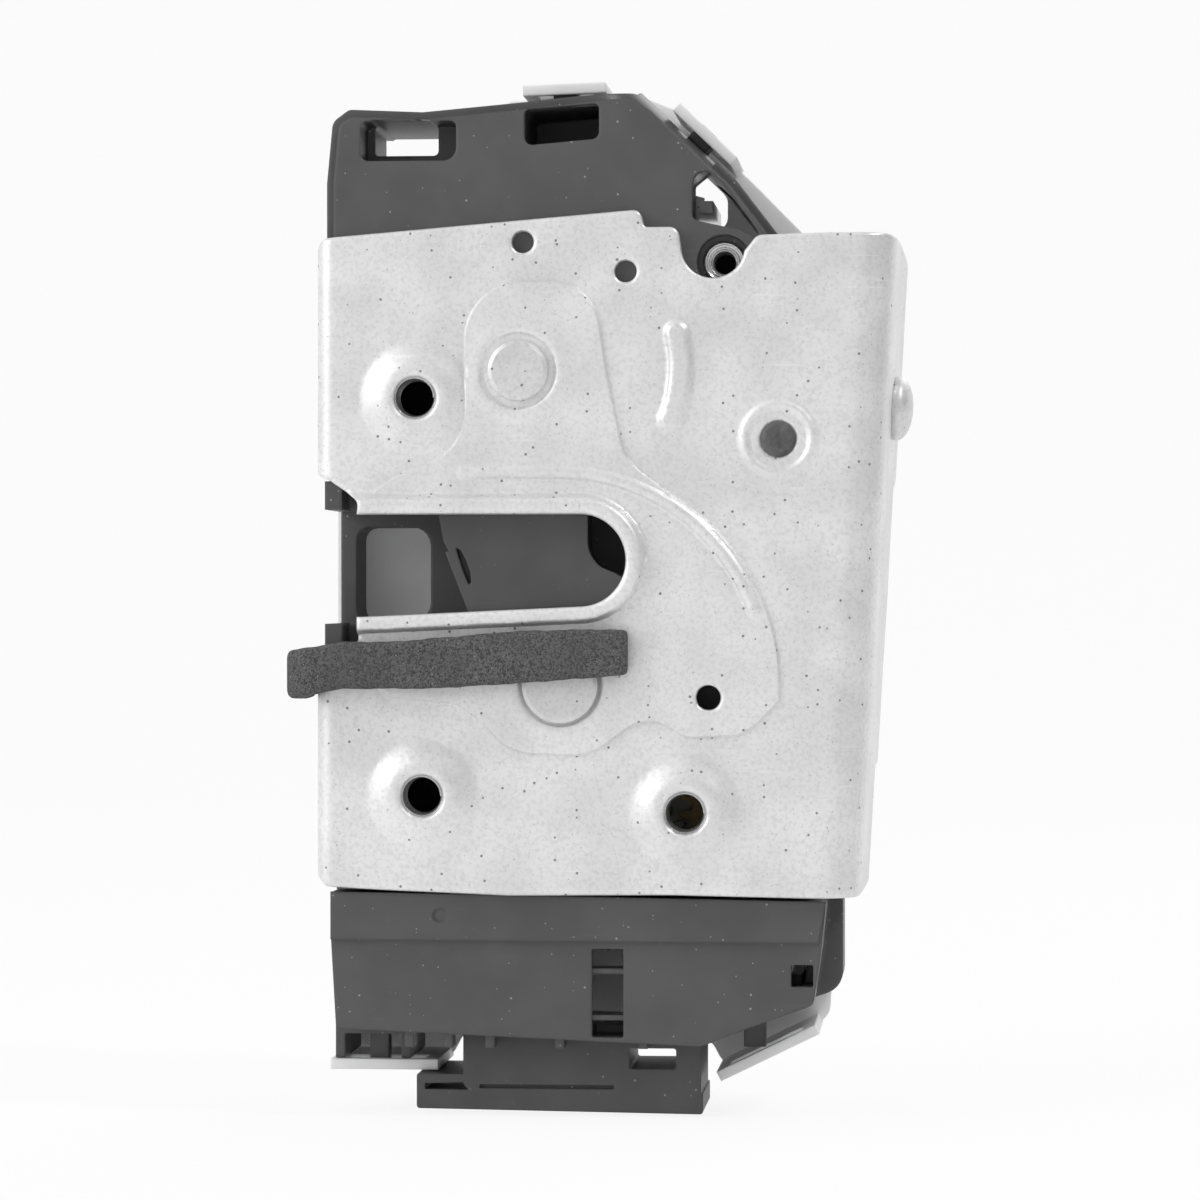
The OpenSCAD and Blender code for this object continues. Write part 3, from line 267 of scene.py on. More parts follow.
def moulded(name, level, rough_base, edge_radius, dust, texture, tint=(0, 0, 0)):
    """Moulded plastic: fine spark-eroded texture, softened and slightly polished edges, dust specks."""
    f = Finish(name, specular=0.45)
    clouds = f.grain(110, 2.0)
    skin = f.grain(3600, 2.0, 0.55)
    rub = f.scratches((0.5, 0.3, 0.1), 2000, 0.3, (2, 5, 1)) * f.grain(140, 1.0).band(0.55, 0.7)
    edge = f.edge_mask(edge_radius)
    base = f.mix(clouds.band(0.3, 0.7), tone(level - 0.012, tint), tone(level + 0.015, tint))
    base = f.mix(edge * 0.3, base, tone(min(1.0, level + 0.06), tint))
    base = f.mix(rub * 0.25, base, tone(min(1.0, level + 0.12), tint))
    rough = rough_base + skin * 0.14 - edge * 0.08 + clouds * 0.05
    if dust:
        specks = f.dots(430, 0.09, 0.4) + f.dots(900, 0.12, 0.22, (0.4, 0.2, 0.7))
        base = f.mix(specks * dust, base, tone(0.72))
        rough = rough + specks * 0.3
    return f.feed(colour=base, rough=rough, normal=f.bump(skin, 0.00005, texture, f.edge_normal(edge_radius)))


def rubber_foam(name, level):
    """Open foam: the hollow cells are darkened with painted shade against a lighter skin, and bright specks
    are painted glints where light catches the foam.
    """
    f = Finish(name, roughness=0.92, specular=0.25)
    cells = f.grain(2600, 3.0, 0.7)
    fine = f.grain(5200, 2.0, 0.6)
    clouds = f.grain(160, 2.0)
    glint_specks = f.dots(2300, 0.22, 0.08) + f.dots(900, 0.12, 0.05, (0.5, 0.1, 0.3))
    # painted shade and light: the cells, which the bump also sinks, are darker, and the raised fine skin is
    # lighter
    base = f.mix(cells.band(0.32, 0.68), tone(level - 0.14), tone(level + 0.1))
    base = f.mix(fine.band(0.4, 0.7) * 0.4, base, tone(level + 0.16))
    base = f.mix(clouds.band(0.35, 0.7) * 0.35, base, tone(level - 0.04))
    # painted glints: the brightest specks stand for light caught on the foam
    base = f.mix(glint_specks * 0.7, base, tone(level + 0.42))
    return f.feed(colour=base, normal=f.bump(cells + fine * 0.5 + glint_specks * 0.5, 0.00018, 0.8))


def rubber(name, level):
    """Soft black rubber with a dull bloom."""
    f = Finish(name, roughness=0.8, specular=0.3)
    bloom = f.grain(300, 3.0)
    base = f.mix(bloom.band(0.35, 0.75), tone(level), tone(level + 0.07))
    return f.feed(colour=base, normal=f.bump(f.grain(1800, 2.0), 0.00006, 0.5, f.edge_normal(0.0004)))


def plated(name, tint, rough_base):
    """Thin electric contact metal: copper, brass or tinned, with a stamped grain."""
    f = Finish(name, metallic=0.9)
    run = f.grain(1.0, 2.0, 0.5, f.mapped((3000, 300, 300)))
    base = f.mix(run.band(0.3, 0.7), tone(0.72, tint), tone(0.8, tint))
    normal = f.bump(run, 0.00003, 0.5, f.edge_normal(0.0001))
    return f.feed(colour=base, rough=rough_base + run * 0.2, normal=normal)


def natural(name, level, depth):
    """Natural plastic: light soaks through a thin wall."""
    material = moulded(name, level, 0.38, 0.0004, 0.0, 0.35)
    for made in material.node_tree.nodes:
        if made.type == "BSDF_PRINCIPLED":
            made.inputs["Subsurface Weight"].default_value = 0.4
            made.inputs["Subsurface Radius"].default_value = (depth, depth, depth)
            made.inputs["Subsurface Scale"].default_value = 1.0
    return material


# Mesh helpers


def placed_object(name, data):
    """A new object of the scene."""
    made = bpy.data.objects.new(name, data)
    bpy.context.scene.collection.objects.link(made)
    return made


def merge_points(mesh, face_outwards=False):
    """Joins the loose points of a mesh, and turns its faces outwards where asked."""
    work = bmesh.new()
    work.from_mesh(mesh)
    bmesh.ops.remove_doubles(work, verts=work.verts, dist=1e-7)
    if face_outwards:
        bmesh.ops.recalc_face_normals(work, faces=work.faces)
    work.to_mesh(mesh)
    work.free()


def piece(name, verts, faces, material, keep_edges=None):
    """A mesh object from points in millimetres."""
    mesh = bpy.data.meshes.new(name)
    mesh.from_pydata((np.asarray(verts, float) * MM).tolist(), [], [list(map(int, f)) for f in faces])
    merge_points(mesh, face_outwards=True)
    mesh.materials.append(material)
    mesh.polygons.foreach_set("use_smooth", [True] * len(mesh.polygons))
    if keep_edges:
        mesh.set_sharp_from_angle(angle=math.radians(keep_edges))
    made = placed_object(name, mesh)
    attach(made, "frame")
    return made


def turned(name, at, profile, around, look, wobble=None, keep_edges=None):
    """A piece turned on the lathe, with the finish of that name."""
    return piece(name, *lathe(at, profile, around, wobble), finish(look), keep_edges=keep_edges)


def gather(parts):
    """Several (points, faces) as one."""
    verts, faces = [], []
    for points, polygons in parts:
        base = len(verts)
        verts.extend(points)
        faces.extend([[base + i for i in p] for p in polygons])
    return verts, faces


def lathe(at, profile, around=64, wobble=None):
    """Turns a profile of (radius, Y) round the line along Y through (X, Z). Radius 0 closes an end."""
    verts, faces, rows = [], [], []
    for r, y in profile:
        if r <= 0:
            rows.append([len(verts)] * around)
            verts.append((at[0], y, at[1]))
            continue
        rows.append(list(range(len(verts), len(verts) + around)))
        for k in range(around):
            a = 2 * math.pi * k / around
            push = wobble(r, a) if wobble else 0.0
            verts.append((at[0] + r * math.cos(a), y + push, at[1] + r * math.sin(a)))
    for low, high in zip(rows, rows[1:]):
        for k in range(around):
            n = (k + 1) % around
            face = list(dict.fromkeys((low[k], low[n], high[n], high[k])))
            if len(face) > 2:
                faces.append(face)
    return verts, faces


def block(low, high, soft=0.3):
    """A box with rounded edges, made from a subdivided cage."""
    softs = [min(soft, (b - a) * 0.4) for a, b in zip(low, high)]
    axes = [[a, a + s * 0.3, a + s, b - s, b - s * 0.3, b] for a, b, s in zip(low, high, softs)]
    verts, index = [], {}

    def vertex(*place):
        if place not in index:
            index[place] = len(verts)
            p = [axis[k] for axis, k in zip(axes, place)]
            inner = [min(max(v, lo + s), hi - s) for v, lo, hi, s in zip(p, low, high, softs)]
            d = [v - w for v, w in zip(p, inner)]
            length = math.sqrt(sum(v * v for v in d))
            reach = max(abs(v) for v in d)
            if length > 1e-9:
                p = [w + v / length * reach for w, v in zip(inner, d)]
            verts.append(tuple(p))
        return index[place]

    faces = []
    for i in range(5):
        for j in range(5):
            corners = ((i, j), (i + 1, j), (i + 1, j + 1), (i, j + 1))
            for side in (0, 5):
                faces.append([vertex(a, b, side) for a, b in corners])
                faces.append([vertex(a, side, b) for a, b in corners])
                faces.append([vertex(side, a, b) for a, b in corners])
    return verts, faces


def prism_faces(n):
    """Two ends and the sides between two rings of n points."""
    sides = [[k, (k + 1) % n, n + (k + 1) % n, n + k] for k in range(n)]
    return [list(range(n)), list(range(2 * n - 1, n - 1, -1)), *sides]


def prism(loop, back, front):
    """A block between two depths, from a flat outline in X and Z."""
    return [(x, y, z) for y in (back, front) for x, z in loop], prism_faces(len(loop))


def reshaped(node, name, material, body, changes):
    """A merged copy of a solid with blocks added or cut away, standing for that solid."""
    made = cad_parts[node].copy()
    made.data = made.data.copy()
    made.name = made.data.name = name
    made.parent = None
    for key in list(made.keys()):
        del made[key]
    bpy.context.scene.collection.objects.link(made)
    merge_points(made.data)
    tools = []
    for operation, (verts, faces) in changes:
        tool = piece(name + "_tool", verts, faces, material)
        tools.append(tool)
        cut = made.modifiers.new("cut", "BOOLEAN")
        cut.operation, cut.solver, cut.object = operation, "EXACT", tool
    view = bpy.context.evaluated_depsgraph_get()
    result = bpy.data.meshes.new_from_object(made.evaluated_get(view), depsgraph=view)
    made.modifiers.clear()
    made.data = result
    for tool in tools:
        bpy.data.objects.remove(tool)
    result.materials.clear()
    result.materials.append(material)
    result.polygons.foreach_set("material_index", [0] * len(result.polygons))
    result.polygons.foreach_set("use_smooth", [False] * len(result.polygons))
    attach(made, body)
    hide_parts(node)
    return made


def rounded_loop(corners, step):
    """A closed line of points from corners (X, Z, radius), with arcs there and no step longer than asked."""
    raw = []
    count = len(corners)
    for i, (x, z, r) in enumerate(corners):
        b = np.array((x, z), float)
        u = np.array(corners[i - 1][:2], float) - b
        v = np.array(corners[(i + 1) % count][:2], float) - b
        u, v = u / np.linalg.norm(u), v / np.linalg.norm(v)
        half = math.acos(max(-1.0, min(1.0, float(u @ v)))) / 2
        if r <= 0 or math.pi - 2 * half < 0.02:
            raw.append(b)
            continue
        centre = b + (u + v) / np.linalg.norm(u + v) * r / math.sin(half)
        run = r / math.tan(half)
        p, q = b + u * run - centre, b + v * run - centre
        turn = math.pi - 2 * half
        pieces = max(2, int(math.ceil(r * turn / step)) + 1)
        for k in range(pieces + 1):
            s = k / pieces
            raw.append(centre + (math.sin((1 - s) * turn) * p + math.sin(s * turn) * q) / math.sin(turn))
    out = []
    for i, a in enumerate(raw):
        b = raw[(i + 1) % len(raw)]
        cuts = max(1, int(math.ceil(np.linalg.norm(b - a) / step)))
        for k in range(cuts):
            p = a + (b - a) * k / cuts
            if not out or np.linalg.norm(p - out[-1]) > 0.03:
                out.append(p)
    return np.array(out)


def along_x(first, last, step, z):
    """Points along X at one height, or at a height for each X."""
    x = np.arange(first, last, step)
    return np.stack([x, z(x) if callable(z) else np.full(len(x), z)], 1)


def ring(at, r, step):
    """Points round a circle."""
    count = max(12, int(2 * math.pi * r / step))
    a = np.linspace(0, 2 * math.pi, count, endpoint=False)
    return np.stack([at[0] + r * np.cos(a), at[1] + r * np.sin(a)], 1)


def far_from(points, loop, closed=True):
    """Distance of each point to a line of points."""
    a = loop if closed else loop[:-1]
    b = np.roll(loop, -1, 0) if closed else loop[1:]
    ab = b - a
    size = np.maximum((ab**2).sum(1), 1e-12)
    best = np.empty(len(points))
    for s in range(0, len(points), 3000):
        p = points[s : s + 3000, None, :]
        t = np.clip(((p - a) * ab).sum(2) / size, 0, 1)
        best[s : s + 3000] = np.sqrt((((a + t[..., None] * ab) - p) ** 2).sum(2).min(1))
    return best


def inside(points, loop):
    """True for points that the closed line holds."""
    a, b = loop, np.roll(loop, -1, 0)
    held = np.zeros(len(points), bool)
    for s in range(0, len(points), 3000):
        x, z = points[s : s + 3000, 0, None], points[s : s + 3000, 1, None]
        crosses = (a[:, 1] > z) != (b[:, 1] > z)
        with np.errstate(divide="ignore", invalid="ignore"):
            at = (b[:, 0] - a[:, 0]) * (z - a[:, 1]) / (b[:, 1] - a[:, 1]) + a[:, 0]
        held[s : s + 3000] = ((x < at) & crosses).sum(1) % 2 == 1
    return held


def smooth(x):
    """0 below 0, 1 above 1, smooth between."""
    x = np.clip(x, 0, 1)
    return x * x * (3 - 2 * x)


# Pressed plate


def fold_split(x, z):
    """Distance past the right fold's start, measured in the sheet, and the height along the leaning fold."""
    c, s = math.cos(FOLD_LEAN), math.sin(FOLD_LEAN)
    return (x - FOLD_X) * c - z * s + FOLD_R, (x - FOLD_X) * s + z * c


def fold_join(t, along):
    """The sheet point with that distance past the fold's start and that height along it."""
    c, s = math.cos(FOLD_LEAN), math.sin(FOLD_LEAN)
    return FOLD_X + (t - FOLD_R) * c + along * s, -(t - FOLD_R) * s + along * c


def folded(x, z, off):
    """Bends the flat sheet round both folds. off is the height above the outer face."""
    x, z, off = np.broadcast_arrays(np.asarray(x, float), np.asarray(z, float), np.asarray(off, float))
    out_x, out_y, out_z = x.copy(), FACE_Y - off, z.copy()
    t, along = fold_split(x, z)
    turn = np.clip(t / FOLD_R, 0, FOLD_TURN)
    leg = np.clip(t - FOLD_ARC, 0, None)
    lx = -FOLD_R + (FOLD_R + off) * np.sin(turn) + leg * math.cos(FOLD_TURN)
    ly = FOLD_R - (FOLD_R + off) * np.cos(turn) + leg * math.sin(FOLD_TURN)
    c, s = math.cos(FOLD_LEAN), math.sin(FOLD_LEAN)
    right = t > 0
    out_x = np.where(right, FOLD_X + lx * c + along * s, out_x)
    out_z = np.where(right, -lx * s + along * c, out_z)
    out_y = np.where(right, FACE_Y + ly, out_y)
    u = LEFT_FOLD_X - x
    bend = np.clip(u / LEFT_FOLD_R, 0, math.pi / 2)
    back = np.clip(u - LEFT_FOLD_R * math.pi / 2, 0, None)
    left = u > 0
    out_x = np.where(left, LEFT_FOLD_X - (LEFT_FOLD_R + off) * np.sin(bend), out_x)
    out_y = np.where(left, FACE_Y + LEFT_FOLD_R - (LEFT_FOLD_R + off) * np.cos(bend) + back, out_y)
    return np.stack([out_x, out_y, out_z], -1)


def flange_edge():
    """The flange's foot, its stepped rear edge and its top, in the flat sheet."""

    def height_on(t, target, corner_x, radius, side):
        # the row of the sheet that ends up at that height once it is folded
        along = target
        for _ in range(6):
            x, z = fold_join(t, along)
            p = folded(x, z, 0.0)
            over = max(0.0, float(p[0]) - (corner_x - radius))
            drop = radius - math.sqrt(max(0.0, radius**2 - min(over, radius) ** 2))
            along += (target - side * drop) - float(p[2])
        return along

    depth = lambda y: FOLD_ARC + (y - FACE_Y - FOLD_R * (1 - math.cos(FOLD_TURN))) / math.sin(FOLD_TURN)
    points = []
    rows = [0.01 + k * FOLD_ARC / 14 for k in range(15)]
    foot_rows = rows + [FOLD_ARC + 5, FOLD_ARC + 12, depth(26) - 1.5]
    for t in foot_rows:
        points.append((*fold_join(t, height_on(t, -15.6, 68.4, 1.6, -1)), 0))
    points.append((*fold_join(depth(26), height_on(depth(26), -15.6, 68.4, 1.6, -1)), 1.2))
    for y, z in ((26, 4), (31, 4), (31, 48.6), (35.4, 48.6)):
        points.append((*fold_join(depth(y), z), 1.2))
    top_rows = [depth(35.4), depth(35.4) - 1.5, FOLD_ARC + 16, FOLD_ARC + 8, *reversed(rows)]
    for k, t in enumerate(top_rows):
        points.append((*fold_join(t, height_on(t, 86.6, 74.6, 2.8, 1)), 1.2 if k == 0 else 0))
    return points


def plate_outline(step):
    """Outline of the flat sheet, counter-clockwise from the upper return flange, with the striker slot."""

    def arc(cx, cz, r, a0, a1, n):
        turns = [math.radians(a0 + (a1 - a0) * k / n) for k in range(n + 1)]
        return [(cx + r * math.cos(a), cz + r * math.sin(a), 0) for a in turns]

    corners = [
        (-22.4, 49.9, 0.8), (-17.2, 49.4, 0.8), (-14.4, 48.6, 1.2), (-9.7, 45.4, 1.4),
        (SLOT_MOUTH_X, SLOT_Z + SLOT_R, 0),
        *arc(SLOT_END_X, SLOT_Z, SLOT_R, 90, -90, 34),
        (SLOT_MOUTH_X, 27.57, 0), (SLOT_MOUTH_X, 24, 0.8), (-11.7, 22.5, 1.5), (-13.9, 18.6, 1.5),
        (-14.4, 17.4, 0.8), (-17.2, 16.6, 0.8),
        (-22.4, 16.3, 0.8), (-22.4, -12.3, 0.8), (-16.9, -12.9, 1.0), (-15.3, -14.1, 1.2),
        (-6.6, -14.6, 0), (13.5, -15.4, 0), (38, -15.2, 0), (58.6, -15.6, 0),
        *flange_edge(),
        (63, 86.6, 0), (51.6, 86.25, 1.6),
        *arc(44.85, 84.6, 4.9, -9, -171, 26),
        (39.5, 87.6, 1.5), (34.3, 87.6, 0.6), (33.6, 90.3, 1.3),
        (-13.4, 86.35, 0), (-15.6, 86.1, 1.4), (-17.4, 85.0, 1.2), (-22.4, 84.4, 0.8),
    ]
    return rounded_loop(corners, step)


FIELD_R = 33.8
FIELD_EDGE = [
    *((-13, 24.6, 0), (-9.9, 24, 0), (-6, 15.2, 3), (6, 14.2, 6), (14, 6.6, 8)),
    *((26, 6.2, 9), (34.6, 12.6, 6), (41, 9, 3), (50, 9.4, 7)),
    *(
        (CLAW_PIVOT[0] + FIELD_R * math.cos(a), CLAW_PIVOT[1] + FIELD_R * math.sin(a), 0)
        for a in map(math.radians, range(-4, 60, 6))
    ),
    *((31.4, 51.5, 9), (28.4, 66, 12), (26.4, 79.4, 8), (6.4, 79.2, 9)),
    *((7, 53, 9), (-2, 50.4, 6), (-9.7, 45.9, 0), (-13, 45.9, 0)),
]


def arc_line(at, r, first, last, count):
    """Points along an arc between two angles in degrees."""
    a = np.radians(np.linspace(first, last, count))
    return np.stack([at[0] + r * np.cos(a), at[1] + r * np.sin(a)], 1)


def plate_heights(points, look, field, slot_line, rib_line, oblong_line):
    """Height of the front face over the plain sheet, and the part of it that the rear face follows."""
    x, z = points[:, 0], points[:, 1]
    held = np.where(inside(points, field), 1.0, -1.0) * far_from(points, field)
    base = look.field_height * smooth((held + look.field_step / 2) / look.field_step)
    oblong = 1 - smooth((far_from(points, oblong_line, False) - 1.25) / 0.8)
    base = np.maximum(base, 0.75 * oblong)
    tie = np.hypot(x - TIE_RIVET[0], z - TIE_RIVET[1])
    base = base + 0.4 * (1 - smooth((tie - 5.4) / 0.9)) - 0.75 * (1 - smooth((tie - 4.1) / 0.8))
    for (cx, cz), r in DISCS:
        # a moat round each riveted disc, with a soft bulge outside it
        d = np.hypot(x - cx, z - cz)
        base = base + 0.12 * np.exp(-(((d - r - 2.1) / 1.1) ** 2)) - 0.35 * (1 - smooth((d - r - 0.95) / 0.3))
    # shallow draw marks that run out towards the rim of the sheet
    base = base + 0.05 * np.sin(x * 0.23 + 1.0) * np.sin(z * 0.17)
    rib = far_from(points, rib_line, False)
    round_top = np.sqrt(np.clip(1 - (rib / 1.02) ** 2, 0, 1))
    front = base + look.rib_height * round_top * (0.35 + 0.65 * smooth((x - 6) / 5))
    for cx, cz in FIXING_HOLES:
        d = np.hypot(x - cx, z - cz)
        cone = look.boss_height * (1 - smooth((d - 4.2) / (look.boss_foot - 4.2)))
        front, base = np.maximum(front, cone), np.maximum(base, cone)
    slot = far_from(points, slot_line, False)
    soft = np.where(z > SLOT_Z, 1.5, 0.75)
    lip = look.lip_height * (1 - smooth((slot - 2.15) / soft))
    crown = 0.12 * np.exp(-(((slot - 1.3) / 0.8) ** 2))
    front = np.maximum(front, lip) + crown * (lip > front)
    return front, base * smooth((slot - 2.2) / 1.6)


def build_plate(look, material):
    """The sheet as one mesh: points along every pressed form, triangles between them, then both folds."""
    step = look.mesh_step
    outline = plate_outline(step)
    holes = [(h[:2], h[2]) for h in SMALL_HOLES]
    holes += [(h, 3.3) for h in FIXING_HOLES]
    holes += [(CLAW_PIVOT, 4.9), (PAWL_PIVOT, 3.7), (TIE_RIVET, 2.6)]
    rivet = fold_join(FOLD_ARC + RIVET_ON_FLANGE[0], RIVET_ON_FLANGE[1])
    holes.append((rivet, 2.7))
    hole_loops = [ring(c, r, step)[::-1] for c, r in holes]
    rounds = [(loop.mean(0), np.linalg.norm(loop[0] - loop.mean(0))) for loop in hole_loops]
    from_holes = lambda p: [(np.linalg.norm(p - middle, axis=1), r) for middle, r in rounds]
    field = rounded_loop(FIELD_EDGE, step * 0.8)
    slot_line = np.array(
        [
            (SLOT_MOUTH_X - 3, SLOT_Z + SLOT_R),
            *arc_line((SLOT_END_X, SLOT_Z), SLOT_R, 90, -90, 60),
            (SLOT_MOUTH_X - 3, 27.43),
        ]
    )
    rib_line = np.vstack([[RIB_START], arc_line(RIB_CENTRE, RIB_R, *RIB_TURN, 60)])
    oblong_line = arc_line(OBLONG_CENTRE, OBLONG_R, *OBLONG_TURN, 24)
    loops = [outline, *hole_loops]
    corners = np.vstack(loops)
    rims = []
    for loop in loops:
        ahead, behind = np.roll(loop, -1, 0), np.roll(loop, 1, 0)
        d = ahead - behind
        d /= np.maximum(np.linalg.norm(d, axis=1)[:, None], 1e-9)
        inward = np.stack([-d[:, 1], d[:, 0]], 1)
        rims += [(loop + inward * g, g) for g in (0.14, 0.32, 0.6)]
    lip_rows = []
    for g in (1.0, 1.5, 1.9, 2.3, 2.65, 3.0, 3.35, 3.8):
        r = SLOT_R + g
        rows = [
            along_x(LIP_START_X, SLOT_END_X, step, SLOT_Z + SLOT_R + g),
            arc_line((SLOT_END_X, SLOT_Z), r, 90, -90, int(r * math.pi / step)),
            along_x(LIP_START_X, SLOT_END_X, step, lambda x: 29.2 - g - (SLOT_END_X - x) * 2.2 / 46.5),
        ]
        lip_rows.append(np.vstack(rows))
    rib_rows = (-1.15, -0.95, -0.6, 0.0, 0.6, 0.95, 1.15)
    guides = [arc_line(RIB_CENTRE, RIB_R + o, *RIB_TURN, 110) for o in rib_rows]
    guides += [along_x(RIB_START[0], 21, step, RIB_START[1] + o) for o in rib_rows]
    oblong_rows = (-2.1, -1.7, -1.2, -0.6, 0, 0.6, 1.2, 1.7, 2.1)
    guides += [arc_line(OBLONG_CENTRE, OBLONG_R + o, *OBLONG_TURN, 34) for o in oblong_rows]
    guides += [ring(h, r, step) for h in FIXING_HOLES for r in (3.9, 4.3, 4.9, 5.6, 6.3, 7.0, 7.8, 8.6)]
    guides += [ring(TIE_RIVET, r, step) for r in (3.4, 4.1, 4.5, 4.9, 5.4, 5.8, 6.3)]
    spread = (-0.42, -0.21, 0.0, 0.21, 0.42)
    ahead = np.roll(field, -1, 0) - np.roll(field, 1, 0)
    ahead /= np.maximum(np.linalg.norm(ahead, axis=1)[:, None], 1e-9)
    guides = [field + np.stack([-ahead[:, 1], ahead[:, 0]], 1) * o for o in spread] + guides
    guides += [ring(c, r + o, step) for c, r in DISCS for o in (0.6, 0.85, 1.0, 1.12, 1.26, 1.5)]
    low, high = corners.min(0), corners.max(0)

    def hexes(size, region=None):
        rows = []
        for k, zz in enumerate(np.arange(low[1] + size / 2, high[1], size * 0.866)):
            xs = np.arange(low[0] + (size / 2 if k % 2 else size), high[0], size)
            rows.append(np.stack([xs, np.full(len(xs), zz)], 1))
        p = np.vstack(rows)
        return p[region(p)] if region else p

    past = lambda p: fold_split(p[:, 0], p[:, 1])[0]
    leg_start = FOLD_ARC + 0.6
    flat = hexes(step * 1.25, lambda p: past(p) < 0)
    bent = hexes(step * 1.6, lambda p: (past(p) >= 0) & (past(p) < leg_start))
    leg = hexes(step * 4.5, lambda p: past(p) >= leg_start)
    wanted = [(r, g * 0.8) for r, g in rims] + [(g, 0.2) for g in lip_rows + guides]
    wanted += [(flat, 0.3), (bent, 0.3), (leg, 0.6)]
    taken = [corners]
    for cloud, gap in wanted:
        good = inside(cloud, outline) & (far_from(cloud, outline) > gap)
        for near, r in from_holes(cloud):
            good &= near > r + gap
        cloud = cloud[good]
        if not len(cloud):
            continue
        so_far = np.vstack(taken)
        tree = kdtree.KDTree(len(so_far))
        for i, p in enumerate(so_far):
            tree.insert((p[0], p[1], 0), i)
        tree.balance()
        nearest = np.array([tree.find((p[0], p[1], 0))[2] for p in cloud])
        taken.append(cloud[nearest > min(gap, step * 0.45)])
    points = np.vstack(taken)
    edges, start = [], 0
    for loop in loops:
        n = len(loop)
        edges += [(start + k, start + (k + 1) % n) for k in range(n)]
        start += n

    def mesh_between(cloud):
        """Triangles between the outline and the holes."""
        made, _, triangles, origin, _, _ = delaunay_2d_cdt([Vector(c) for c in cloud], edges, [], 1, 1e-6)
        at = np.array([(v.x, v.y) for v in made])
        middle = at[np.array(triangles)].mean(1)
        good = inside(middle, outline)
        for near, r in from_holes(middle):
            good &= near > r * 0.99
        return at, np.array(triangles)[good].tolist(), origin

    front2d, faces, origin = mesh_between(points)
    coarse = hexes(step * 3.2)
    good = inside(coarse, outline) & (far_from(coarse, outline) > 0.6)
    for near, r in from_holes(coarse):
        good &= near > r + 0.5
    rear_points = np.vstack([corners, coarse[good]])
    rear2d, rear_faces, rear_origin = mesh_between(rear_points)

    def settle(p):
        front, back = plate_heights(p, look, field, slot_line, rib_line, oblong_line)
        rim = far_from(p, outline)
        for near, r in from_holes(p):
            rim = np.minimum(rim, np.abs(near - r))
        r = look.edge_round
        fall = r - np.sqrt(np.clip(r**2 - np.clip(r - rim, 0, r) ** 2, 0, None))
        return front - fall, back

    top = folded(front2d[:, 0], front2d[:, 1], settle(front2d)[0])
    under = folded(rear2d[:, 0], rear2d[:, 1], settle(rear2d)[1] - look.thickness)
    base = len(top)
    polygons = [list(f) for f in faces] + [[base + i for i in reversed(f)] for f in rear_faces]
    to_front, to_rear = {}, {}
    for table, made in ((to_front, origin), (to_rear, rear_origin)):
        for i, sources in enumerate(made):
            for s in sources:
                table[s] = i
    for a, b in edges:
        if to_front[a] != to_front[b]:
            polygons.append([to_front[a], base + to_rear[a], base + to_rear[b], to_front[b]])
    plate = piece("pressed_plate", np.vstack([top, under]), polygons, material, keep_edges=52)
    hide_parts("latch_plate")


# Geometry Nodes


